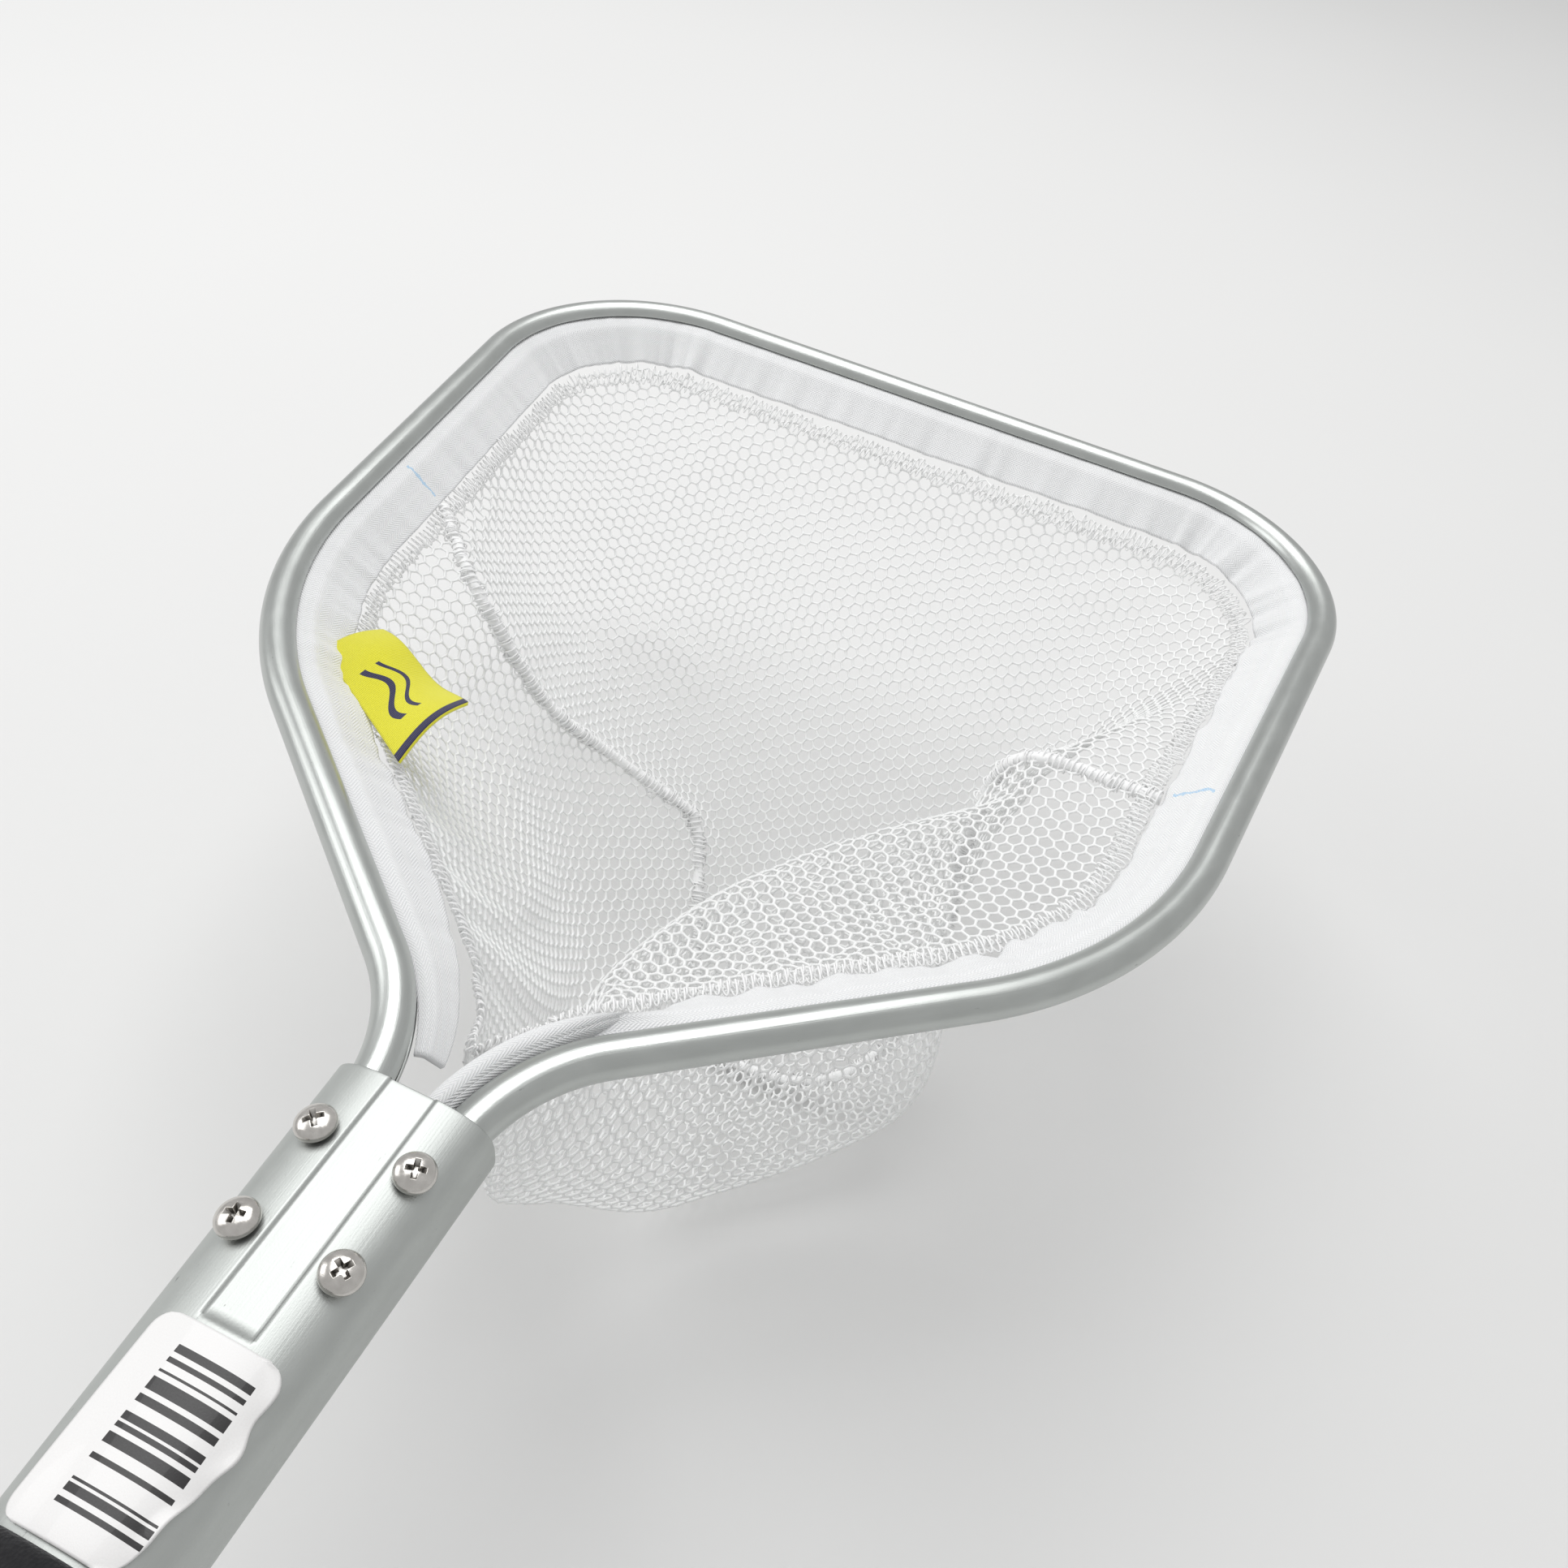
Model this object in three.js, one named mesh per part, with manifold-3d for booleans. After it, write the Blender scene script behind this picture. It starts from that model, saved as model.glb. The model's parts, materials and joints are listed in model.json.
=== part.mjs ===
// Landing net with a slotted-tube hoop, a flattened-tube handle and a two-panel mesh bag.
// Millimetres, +Z up. The origin is the centre of the flat butt face; the handle's axis runs along +Y.
// The hoop lies in a level plane just above the handle's axis and the bag hangs below it.
import * as THREE from "three";
import { mergeVertices } from "three/addons/utils/BufferGeometryUtils.js";
import Module from "manifold-3d";

// ---- Driving dimensions ----
const MOUTH_Y = 300;            // butt face to the handle's mouth
const GAP = 0.3;                // clearance between pieces that touch
const HOOP_R = 4;               // hoop tube, outside radius
const HOOP_WALL = 1;
const SLOT_WIDTH = 2;           // slot on the inner side of the hoop tube
const HOOP_Z = 1.8;             // hoop plane above the handle's axis
const LEG_X = 9;                // leg centreline to the handle's centreline
const LEG_INSIDE = 36;          // length of leg inside the mouth
const LEG_STRAIGHT = 31;        // straight run of the leg before the first bend
const NECK_BEND_R = 38;
const NECK_BEND = 0.893;        // radians outwards
const NECK_STRAIGHT = 70;
const SIDE_BEND_R = 93.7;
const SIDE_BEND = 0.773;        // radians back inwards
const SIDE_STRAIGHT = 92.5;
const CORNER_R = 48.3;
const HOOP_STEPS = 64;

const TUBE_R = 12.7;            // handle tube, outside radius where it is round
const TUBE_WALL = 1.2;
const FLATTEN_LENGTH = 115;     // the tube goes from round to oval over this length
const MOUTH_WIDEN = 2.5;        // half-width gained at the mouth
const MOUTH_SQUASH = 3.6;       // half-height lost at the mouth
const STRIP_WIDTH = 8.6;        // pressed strip on top of the mouth
const STRIP_LENGTH = 44;
const STRIP_DEPTH = 0.5;

const SCREW_ROWS = [12.8, 30.8];  // behind the mouth
const SCREW_HEAD_R = 3.45;
const SCREW_HEAD_H = 2.3;
const SCREW_SHANK_R = 1.75;
const SCREW_LENGTH = 7.5;

const GRIP_FRONT = 75.8;        // behind the mouth
const GRIP_WALL = 2.9;
const CAP_FLANGE_R = 15.5;
const CAP_FLANGE_T = 4;
const CAP_PLUG_LENGTH = 16;

const LABEL_FRONT = 45.3;       // behind the mouth
const LABEL_BACK = 74.9;
const LABEL_ARC = [-46, 57.5];  // degrees round the tube from the top
const LABEL_T = 0.2;

const CORD_R = 1.7;
const TAPE_T = 1.1;
const TAPE_START = 15;          // length of bare hoop between the mouth and the tape
const TAPE_REACH = 14.5;        // inwards from the hoop's centreline
const TAPE_DROP = 8;

const NET_T = 1.2;
const SEAM_R = 1.6;
const SEAM_Y = 154;             // side seams, ahead of the mouth
const BAG_BOTTOM = [            // bottom seam, ahead of the mouth, from left to right
  [-52, 138, -84],
  [10, 108, -120],
  [68, 138, -84],
];

// ---- manifold-3d helpers ----
const wasm = await Module();
wasm.setup();

function toSolid(geometry) {
  const bare = geometry.clone();
  bare.deleteAttribute("normal");
  bare.deleteAttribute("uv");
  const merged = mergeVertices(bare, 1e-4);
  return new wasm.Manifold(new wasm.Mesh({
    numProp: 3,
    vertProperties: new Float32Array(merged.attributes.position.array),
    triVerts: new Uint32Array(merged.index.array),
  }));
}

function toGeometry(solid) {
  const mesh = solid.getMesh();
  const geometry = new THREE.BufferGeometry();
  geometry.setAttribute("position", new THREE.BufferAttribute(mesh.vertProperties, 3));
  geometry.setIndex(new THREE.BufferAttribute(mesh.triVerts, 1));
  geometry.computeVertexNormals();
  return geometry;
}

// The geometry left when the tools are cut from it, without any loose sliver.
function cut(geometry, ...tools) {
  const left = tools.reduce((solid, tool) => solid.subtract(toSolid(tool)), toSolid(geometry));
  return toGeometry(left.decompose().reduce((a, b) => (a.volume() > b.volume() ? a : b)));
}

// ---- Handle section: a superellipse that goes from round to a flat oval at the mouth ----
function handleRadius(angle, behindMouth, offset = 0) {
  const s = THREE.MathUtils.clamp(1 - behindMouth / FLATTEN_LENGTH, 0, 1);
  const a = TUBE_R + MOUTH_WIDEN * s;
  const b = TUBE_R - MOUTH_SQUASH * s;
  const n = 2 + s;
  const across = Math.abs(Math.sin(angle) / a) ** n;
  const up = Math.abs(Math.cos(angle) / b) ** n;
  return (across + up) ** (-1 / n) + offset;
}

// Turns every face round if the closed surface encloses a negative volume.
function outwards(positions, index) {
  const [a, b, c] = [new THREE.Vector3(), new THREE.Vector3(), new THREE.Vector3()];
  let volume = 0;
  for (let i = 0; i < index.length; i += 3) {
    [a, b, c].forEach((v, k) => v.fromArray(positions, 3 * index[i + k]));
    volume += a.dot(b.cross(c));
  }
  const geometry = new THREE.BufferGeometry();
  geometry.setAttribute("position", new THREE.Float32BufferAttribute(positions, 3));
  geometry.setIndex(volume < 0 ? index.slice().reverse() : index);
  return geometry;
}

// A closed solid through rings of points: rings[i][j] is a Vector3 and each ring has the same count.
function skin(rings) {
  const count = rings[0].length;
  const positions = rings.flat().flatMap((p) => [p.x, p.y, p.z]);
  const index = [];
  for (let i = 0; i < rings.length - 1; i++) {
    for (let j = 0; j < count; j++) {
      const a = i * count + j;
      const b = i * count + ((j + 1) % count);
      index.push(a, b, b + count, a, b + count, a + count);
    }
  }
  for (const [ring, start, flip] of [[rings[0], 0, true], [rings.at(-1), (rings.length - 1) * count, false]]) {
    const centre = ring.reduce((sum, p) => sum.add(p), new THREE.Vector3()).divideScalar(count);
    const hub = positions.length / 3;
    positions.push(centre.x, centre.y, centre.z);
    for (let j = 0; j < count; j++) {
      const a = start + j;
      const b = start + ((j + 1) % count);
      index.push(...(flip ? [hub, b, a] : [hub, a, b]));
    }
  }
  return outwards(positions, index);
}

// A solid along the handle whose rings follow the handle's section at a distance.
function handleLoft(stations, offset, sides) {
  return skin(stations.map((y, i) => {
    const reach = Array.isArray(offset) ? offset[i] : offset;
    return Array.from({ length: sides }, (_, j) => {
      const angle = -(2 * Math.PI * j) / sides;
      const r = handleRadius(angle, MOUTH_Y - y, reach);
      return new THREE.Vector3(r * Math.sin(angle), y, r * Math.cos(angle));
    });
  }));
}

// ---- Hoop path: right leg, round the far side, left leg ----
function rightHalf() {
  const path = [];
  let x = LEG_X;
  let y = MOUTH_Y - LEG_INSIDE;
  let heading = 0;                 // clockwise from +Y
  const line = (length) => {
    const from = new THREE.Vector2(x, y);
    x += length * Math.sin(heading);
    y += length * Math.cos(heading);
    path.push({ line: [from, new THREE.Vector2(x, y)], length });
  };
  const bend = (radius, turn) => {
    const side = Math.sign(turn);
    const cx = x + side * radius * Math.cos(heading);
    const cy = y - side * radius * Math.sin(heading);
    path.push({ centre: [cx, cy], radius, side, from: heading, turn, length: radius * Math.abs(turn) });
    heading += turn;
    x = cx - side * radius * Math.cos(heading);
    y = cy + side * radius * Math.sin(heading);
  };
  line(LEG_STRAIGHT);
  bend(NECK_BEND_R, NECK_BEND);
  line(NECK_STRAIGHT);
  bend(SIDE_BEND_R, -SIDE_BEND);
  line(SIDE_STRAIGHT);
  bend(CORNER_R, -(Math.PI / 2 + NECK_BEND - SIDE_BEND));
  line(x);
  return path;
}

const HALF = rightHalf();
const HALF_LENGTH = HALF.reduce((sum, piece) => sum + piece.length, 0);
const HOOP_LENGTH = 2 * HALF_LENGTH;

// Point and inward direction at a length along the whole hoop.
function hoopAt(length) {
  const mirrored = length > HALF_LENGTH;
  let left = mirrored ? HOOP_LENGTH - length : length;
  let k = 0;
  while (k < HALF.length - 1 && left > HALF[k].length) left -= HALF[k++].length;
  const piece = HALF[k];
  let x, y, heading;
  if (piece.line) {
    const [a, b] = piece.line;
    const d = b.clone().sub(a).normalize();
    x = a.x + d.x * left;
    y = a.y + d.y * left;
    heading = Math.atan2(d.x, d.y);
  } else {
    heading = piece.from + (piece.side * left) / piece.radius;
    x = piece.centre[0] - piece.side * piece.radius * Math.cos(heading);
    y = piece.centre[1] + piece.side * piece.radius * Math.sin(heading);
  }
  const sign = mirrored ? -1 : 1;
  return {
    point: new THREE.Vector3(sign * x, y, HOOP_Z),
    inward: new THREE.Vector3(-sign * Math.cos(heading), Math.sin(heading), 0),
  };
}

class HoopPath extends THREE.Curve {
  constructor(from, to) {
    super();
    this.from = from;
    this.to = to;
  }
  getPoint(t, target = new THREE.Vector3()) {
    return target.copy(hoopAt(this.from + (this.to - this.from) * t).point);
  }
}

// Extrude a section along part of the hoop. In the section, x is downwards and y is inwards.
function alongHoop(shape, from, to, steps, curveSegments) {
  return new THREE.ExtrudeGeometry(shape, { steps, curveSegments, extrudePath: new HoopPath(from, to) });
}

// ---- Pieces ----
function hoopTube() {
  const outer = Math.asin(SLOT_WIDTH / 2 / HOOP_R);
  const bore = HOOP_R - HOOP_WALL;
  const inner = Math.asin(SLOT_WIDTH / 2 / bore);
  const up = Math.PI / 2;
  const section = new THREE.Shape();
  section.absarc(0, 0, HOOP_R, up + outer, up - outer + 2 * Math.PI, false);
  section.absarc(0, 0, bore, up - inner + 2 * Math.PI, up + inner, true);
  section.closePath();
  const tube = alongHoop(section, 0, HOOP_LENGTH, HOOP_STEPS, 5);
  return cut(tube, ...screwPlaces().map(({ x, y }) => screwHole(x, y)));
}

function screwPlaces() {
  const places = [];
  for (const [side, sign] of [["right", 1], ["left", -1]]) {
    for (const [row, behind] of [["front", SCREW_ROWS[0]], ["rear", SCREW_ROWS[1]]]) {
      places.push({ name: `screw_${side}_${row}`, x: sign * LEG_X, y: MOUTH_Y - behind });
    }
  }
  return places;
}

function topAt(x, y) {
  let z = HOOP_Z + HOOP_R;
  for (let i = 0; i < 20; i++) z = handleRadius(Math.atan2(x, z), MOUTH_Y - y) * Math.cos(Math.atan2(x, z));
  return z;
}

const SCREW_HOLE_SIDES = 16;
function screwHole(x, y) {
  const length = 12;
  const hole = new THREE.CylinderGeometry(SCREW_SHANK_R + GAP, SCREW_SHANK_R + GAP, length, SCREW_HOLE_SIDES);
  hole.rotateX(Math.PI / 2);
  hole.translate(x, y, HOOP_Z + HOOP_WALL + length / 2);
  return hole;
}

function screw() {
  const r = SCREW_HEAD_R;
  const h = SCREW_HEAD_H;
  const profile = [
    [0, -SCREW_LENGTH], [SCREW_SHANK_R * 0.5, -SCREW_LENGTH], [SCREW_SHANK_R, -SCREW_LENGTH + 1.5],
    [SCREW_SHANK_R, 0], [r, 0], [r, h * 0.4], [r * 0.86, h * 0.74], [r * 0.5, h * 0.95], [0, h],
  ].map(([x, y]) => new THREE.Vector2(x, y));
  const body = new THREE.LatheGeometry(profile, 20);
  body.rotateX(Math.PI / 2);
  const arm = (turn) => {
    const slot = new THREE.BoxGeometry(r * 1.05, 0.8, 1.6);
    slot.rotateZ(turn);
    slot.translate(0, 0, h);
    return slot;
  };
  return cut(body, arm(0), arm(Math.PI / 2));
}

function handleTube() {
  const stations = [CAP_FLANGE_T + GAP, 100, MOUTH_Y - FLATTEN_LENGTH];
  for (let y = MOUTH_Y - 100; y < MOUTH_Y; y += 20) stations.push(y);
  stations.push(MOUTH_Y);
  const sides = 36;
  const outside = handleLoft(stations, 0, sides);
  const bore = handleLoft([stations[0] - 1, ...stations.slice(1, -1), MOUTH_Y + 1], -TUBE_WALL, sides);
  const floorAt = (behind) => topAt(0, MOUTH_Y - behind) - STRIP_DEPTH;
  const strip = new THREE.Shape([
    new THREE.Vector2(MOUTH_Y + 1, floorAt(0)),
    new THREE.Vector2(MOUTH_Y - STRIP_LENGTH, floorAt(STRIP_LENGTH)),
    new THREE.Vector2(MOUTH_Y - STRIP_LENGTH, TUBE_R + 2),
    new THREE.Vector2(MOUTH_Y + 1, TUBE_R + 2),
  ]);
  const press = new THREE.ExtrudeGeometry(strip, { depth: STRIP_WIDTH, bevelEnabled: false });
  // Shape x becomes +Y, shape y becomes +Z and the depth runs along +X.
  press.applyMatrix4(new THREE.Matrix4().makeBasis(
    new THREE.Vector3(0, 1, 0), new THREE.Vector3(0, 0, 1), new THREE.Vector3(1, 0, 0)));
  press.translate(-STRIP_WIDTH / 2, 0, 0);
  return cut(outside, bore, press, ...screwPlaces().map(({ x, y }) => screwHole(x, y)));
}

function gripSleeve() {
  const rear = CAP_FLANGE_T + GAP;
  const front = MOUTH_Y - GRIP_FRONT;
  const stations = [rear, rear + 1.5, 100, MOUTH_Y - FLATTEN_LENGTH, front - 20, front - 1.5, front];
  const outer = GAP + GRIP_WALL;
  const outside = handleLoft(stations, [outer - 1, outer, outer, outer, outer, outer, outer - 1], 32);
  const bore = handleLoft([rear - 1, 100, MOUTH_Y - FLATTEN_LENGTH, front - 20, front + 1], GAP, 32);
  return cut(outside, bore);
}

function endCap() {
  const plug = TUBE_R - TUBE_WALL - GAP;
  const wall = 2;
  const top = CAP_FLANGE_T + CAP_PLUG_LENGTH;
  const profile = [
    [0, 0], [CAP_FLANGE_R - 1, 0], [CAP_FLANGE_R, 1], [CAP_FLANGE_R, CAP_FLANGE_T], [plug, CAP_FLANGE_T],
    [plug, top - 1], [plug - 0.6, top], [plug - wall, top], [plug - wall, CAP_FLANGE_T], [0, CAP_FLANGE_T],
  ].map(([x, y]) => new THREE.Vector2(x, y));
  return new THREE.LatheGeometry(profile, 32);
}

function handleLabel() {
  const columns = 12;
  const rows = [LABEL_BACK, (LABEL_BACK + LABEL_FRONT) / 2, LABEL_FRONT];
  const rings = rows.map((behind) => {
    const arc = (offset) => Array.from({ length: columns + 1 }, (_, i) => {
      const angle = THREE.MathUtils.degToRad(THREE.MathUtils.lerp(LABEL_ARC[0], LABEL_ARC[1], i / columns));
      const r = handleRadius(angle, behind, offset);
      return new THREE.Vector3(r * Math.sin(angle), MOUTH_Y - behind, r * Math.cos(angle));
    });
    return [...arc(GAP + LABEL_T).reverse(), ...arc(GAP)];
  });
  return slab(rings, columns + 1);
}

// A thin solid from rings whose first half is the outer skin and second half the inner skin.
function slab(rings, columns) {
  const count = rings[0].length;
  const positions = rings.flat().flatMap((p) => [p.x, p.y, p.z]);
  const index = [];
  for (let i = 0; i < rings.length - 1; i++) {
    for (let j = 0; j < count; j++) {
      const a = i * count + j;
      const b = i * count + ((j + 1) % count);
      index.push(a, b, b + count, a, b + count, a + count);
    }
  }
  const last = (rings.length - 1) * count;
  for (let j = 0; j < columns - 1; j++) {
    const k = count - 1 - j;
    index.push(j, k, k - 1, j, k - 1, j + 1);
    index.push(last + j, last + k - 1, last + k, last + j, last + j + 1, last + k - 1);
  }
  return outwards(positions, index);
}

const TAPE_FROM = LEG_INSIDE + TAPE_START;
const TAPE_TO = HOOP_LENGTH - TAPE_FROM;

function hemCord() {
  const round = new THREE.Shape();
  round.absarc(0, 0, CORD_R, 0, 2 * Math.PI, false);
  return alongHoop(round, TAPE_FROM, TAPE_TO, HOOP_STEPS, 4);
}

// Out of the slot, then down and inwards to the edge that carries the mesh.
function hemTape() {
  const half = TAPE_T / 2;
  const edge = [
    [0, CORD_R + GAP], [0, HOOP_R + 1], [TAPE_DROP * 0.35, TAPE_REACH * 0.62], [TAPE_DROP, TAPE_REACH],
  ];
  const offset = (sign) => edge.map(([down, inwards], i) => {
    const [d0, i0] = edge[Math.max(i - 1, 0)];
    const [d1, i1] = edge[Math.min(i + 1, edge.length - 1)];
    const length = Math.hypot(d1 - d0, i1 - i0);
    return new THREE.Vector2(down + (sign * half * (i1 - i0)) / length, inwards - (sign * half * (d1 - d0)) / length);
  });
  const section = new THREE.Shape([...offset(1), ...offset(-1).reverse()]);
  return alongHoop(section, TAPE_FROM, TAPE_TO, HOOP_STEPS, 1);
}

// ---- Bag: each point of the rim runs down a curve to the bottom seam ----
const RIM_CLEAR = 1.2;          // the mesh starts just past the tape's edge
const NECK_FROM = LEG_INSIDE + 18.6; // length along the hoop where the two sides of the rim meet

function rimPoint(length) {
  const { point, inward } = hoopAt(length);
  return point.clone()
    .addScaledVector(inward, TAPE_REACH + RIM_CLEAR)
    .add(new THREE.Vector3(0, 0, -TAPE_DROP - RIM_CLEAR));
}

const bottomSeam = new THREE.CatmullRomCurve3(
  BAG_BOTTOM.map(([x, y, z]) => new THREE.Vector3(x, MOUTH_Y + y, z + HOOP_Z)));

// Length along the right half of the hoop where the side seam starts.
const SEAM_AT = (() => {
  let length = HALF_LENGTH / 2;
  while (rimPoint(length).y < MOUTH_Y + SEAM_Y) length += 0.5;
  return length;
})();

function bagPoint(length, depth) {
  const rim = rimPoint(length);
  const seamX = rimPoint(SEAM_AT).x;
  const across = THREE.MathUtils.clamp((rim.x / seamX + 1) / 2, 0, 1);
  const foot = bottomSeam.getPoint(across);
  const near = THREE.MathUtils.smoothstep(MOUTH_Y + SEAM_Y + 40 - rim.y, 0, 120);
  const knee = rim.clone().lerp(foot, THREE.MathUtils.lerp(0.5, 0.34, near));
  knee.z = THREE.MathUtils.lerp(rim.z, foot.z, THREE.MathUtils.lerp(0.6, 0.72, near));
  return new THREE.QuadraticBezierCurve3(rim, knee, foot).getPoint(depth);
}

const spread = (from, to, count) =>
  Array.from({ length: count }, (_, i) => THREE.MathUtils.lerp(from, to, i / (count - 1)));

// One panel as a thin shell below the given lengths along the hoop, left clear of the seam.
function netPanel(lengths, rows) {
  const last = lengths.length - 1;
  const at = (i, j) => bagPoint(lengths[THREE.MathUtils.clamp(i, 0, last)], Math.min(Math.max(j, 0), rows) / rows);
  const clear = SEAM_R + 4 * GAP + NET_T / 2;
  const rings = spread(0, rows, rows + 1).map((j) => {
    const inside = [];
    const outside = [];
    for (let i = 0; i <= last; i++) {
      const alongRim = at(i + 1, j).sub(at(i - 1, j)).normalize();
      const alongDepth = at(i, j + 1).sub(at(i, j - 1)).normalize();
      const normal = alongRim.clone().cross(alongDepth).normalize();
      const p = at(i, j);
      if (i === 0) p.addScaledVector(alongRim, clear);
      if (i === last) p.addScaledVector(alongRim, -clear);
      if (j === rows) p.addScaledVector(alongDepth, -clear);
      inside.push(p.clone().addScaledVector(normal, NET_T / 2));
      outside.push(p.clone().addScaledVector(normal, -NET_T / 2));
    }
    return [...inside.reverse(), ...outside];
  });
  return slab(rings, lengths.length);
}

function frontPanel() {
  const right = spread(NECK_FROM, SEAM_AT, 13);
  const left = right.map((length) => HOOP_LENGTH - length).reverse();
  return cut(netPanel([...left, ...right], 8), bagSeam(SEAM_R + GAP));
}

function backPanel() {
  return cut(netPanel(spread(SEAM_AT, HOOP_LENGTH - SEAM_AT, 25), 8), bagSeam(SEAM_R + GAP));
}

function bagSeam(radius) {
  const points = [];
  const down = 8;
  const across = 10;
  const top = 0.04;
  for (let i = 0; i < down; i++) points.push(bagPoint(HOOP_LENGTH - SEAM_AT, Math.max(top, i / down)));
  for (let i = 0; i <= across; i++) points.push(bottomSeam.getPoint(i / across));
  for (let i = down - 1; i >= 0; i--) points.push(bagPoint(SEAM_AT, Math.max(top, i / down)));
  const round = new THREE.Shape();
  round.absarc(0, 0, radius, 0, 2 * Math.PI, false);
  return new THREE.ExtrudeGeometry(round, {
    steps: 50, curveSegments: 3, extrudePath: new THREE.CatmullRomCurve3(points),
  });
}

// Folded woven tag, sewn on at the tape's edge and standing in over the bag.
const TAG_LENGTH = 36;
const TAG_WIDTH = 20;
const TAG_T = 1;
const TAG_AT = 115;             // length along the left side of the hoop from the mouth to the tag's middle
function loopTag() {
  const { point, inward } = hoopAt(HOOP_LENGTH - LEG_INSIDE - TAG_AT);
  const along = new THREE.Vector3(inward.y, -inward.x, 0);
  const rise = [[0, 0], [0.3, 2.2], [0.65, 3.4], [1, 3]];
  const rings = rise.map(([t, lift]) => {
    const middle = point.clone().addScaledVector(inward, TAPE_REACH + 1 + TAG_WIDTH * t);
    const z = HOOP_Z - TAPE_DROP + 2 + lift;
    const side = (dz) => [-0.5, 0, 0.5].map((u) =>
      middle.clone().addScaledVector(along, u * TAG_LENGTH).add(new THREE.Vector3(0, 0, z + dz)));
    return [...side(TAG_T / 2), ...side(-TAG_T / 2).reverse()];
  });
  return slab(rings, 3);
}

// ---- Materials and assembly ----
const finish = (color, roughness, metalness = 0) =>
  new THREE.MeshStandardMaterial({ color, roughness, metalness });
const aluminium = () => finish(0xc6c9c5, 0.35, 1);
const cloth = () => finish(0xf2f3f2, 0.9);

const net = new THREE.Group();
function add(name, geometry, material, x = 0, y = 0, z = 0) {
  const mesh = new THREE.Mesh(geometry, material);
  mesh.name = name;
  mesh.position.set(x, y, z);
  net.add(mesh);
}

add("hoop_tube", hoopTube(), aluminium());
add("handle_tube", handleTube(), aluminium());
for (const { name, x, y } of screwPlaces()) {
  add(name, screw(), finish(0xd8d4cc, 0.15, 1), x, y, topAt(Math.abs(x) - SCREW_HEAD_R, y) + GAP);
}
add("handle_label", handleLabel(), finish(0xf7f7f5, 0.5));
add("grip_sleeve", gripSleeve(), finish(0x0e0e0f, 0.95));
add("end_cap", endCap(), finish(0x161617, 0.6));
add("hem_cord", hemCord(), cloth());
add("hem_tape", hemTape(), cloth());
add("net_front_panel", frontPanel(), cloth());
add("net_back_panel", backPanel(), cloth());
add("bag_seam", bagSeam(SEAM_R), cloth());
add("loop_tag", loopTag(), finish(0xf0eb2a, 0.8));

export default net;
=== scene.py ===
# %% [markdown]
# # A landing net, piece by piece
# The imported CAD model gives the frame: where each piece is and how big it is. This lesson builds the
# finished look of each piece around it. Everything is in metres, with +Y along the handle towards the
# hoop, +Z up, and the origin at the centre of the flat butt face.

# %% Load the frame
import json
import math

import bmesh
import bpy
import numpy as np
from mathutils import Euler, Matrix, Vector, noise

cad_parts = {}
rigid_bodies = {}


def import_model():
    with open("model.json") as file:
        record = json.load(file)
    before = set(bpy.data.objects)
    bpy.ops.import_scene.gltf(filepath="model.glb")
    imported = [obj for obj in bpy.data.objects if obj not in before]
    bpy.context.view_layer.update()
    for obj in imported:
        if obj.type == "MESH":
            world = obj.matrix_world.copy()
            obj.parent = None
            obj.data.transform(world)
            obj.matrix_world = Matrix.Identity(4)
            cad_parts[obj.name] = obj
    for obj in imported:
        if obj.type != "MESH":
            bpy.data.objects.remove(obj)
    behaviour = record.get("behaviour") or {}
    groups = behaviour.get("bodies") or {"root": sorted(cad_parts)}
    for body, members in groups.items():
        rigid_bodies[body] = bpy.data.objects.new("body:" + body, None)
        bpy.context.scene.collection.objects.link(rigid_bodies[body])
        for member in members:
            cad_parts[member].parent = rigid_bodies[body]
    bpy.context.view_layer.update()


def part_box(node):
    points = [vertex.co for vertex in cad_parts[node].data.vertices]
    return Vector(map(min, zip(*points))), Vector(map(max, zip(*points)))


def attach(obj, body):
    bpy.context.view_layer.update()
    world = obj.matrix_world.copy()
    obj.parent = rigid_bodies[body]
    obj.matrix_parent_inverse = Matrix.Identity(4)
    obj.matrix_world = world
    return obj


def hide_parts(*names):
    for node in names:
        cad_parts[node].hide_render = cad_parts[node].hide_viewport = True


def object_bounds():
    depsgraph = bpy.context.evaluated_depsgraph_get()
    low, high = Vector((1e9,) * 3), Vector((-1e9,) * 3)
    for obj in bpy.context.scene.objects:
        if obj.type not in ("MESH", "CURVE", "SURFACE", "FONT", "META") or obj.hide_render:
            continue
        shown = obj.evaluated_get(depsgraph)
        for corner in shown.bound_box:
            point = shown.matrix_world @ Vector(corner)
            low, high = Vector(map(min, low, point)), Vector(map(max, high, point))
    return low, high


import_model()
MM = 0.001

# %% [markdown]
# ## Meshes from grids
# Most pieces here are swept: a row of points follows a path, so the surface is a grid of points. One
# helper turns a grid into a mesh. It can close the grid on itself in either direction, it writes a UV
# map in millimetres, which the cloth and metal materials read, and it turns the faces outwards when
# the surface is closed.

# %% A mesh from a grid of points
def mesh_piece(name, points, faces, uv=None, smooth=True):
    mesh = bpy.data.meshes.new(name)
    mesh.from_pydata([tuple(p) for p in points], [], [tuple(int(i) for i in f) for f in faces])
    if uv is not None:
        layer = mesh.uv_layers.new(name="UVMap")
        loops = np.zeros(len(mesh.loops), np.int32)
        mesh.loops.foreach_get("vertex_index", loops)
        layer.data.foreach_set("uv", np.asarray(uv, np.float32)[loops].ravel())
    mesh.polygons.foreach_set("use_smooth", np.full(len(mesh.polygons), smooth))
    mesh.update()
    piece = bpy.data.objects.new(name, mesh)
    bpy.context.scene.collection.objects.link(piece)
    return piece


def volume(points, faces):
    p = np.asarray(points)
    total = 0.0
    for k in range(1, faces.shape[1] - 1):
        a, b, c = p[faces[:, 0]], p[faces[:, k]], p[faces[:, k + 1]]
        total += (a * np.cross(b, c)).sum()
    return total / 6


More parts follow.
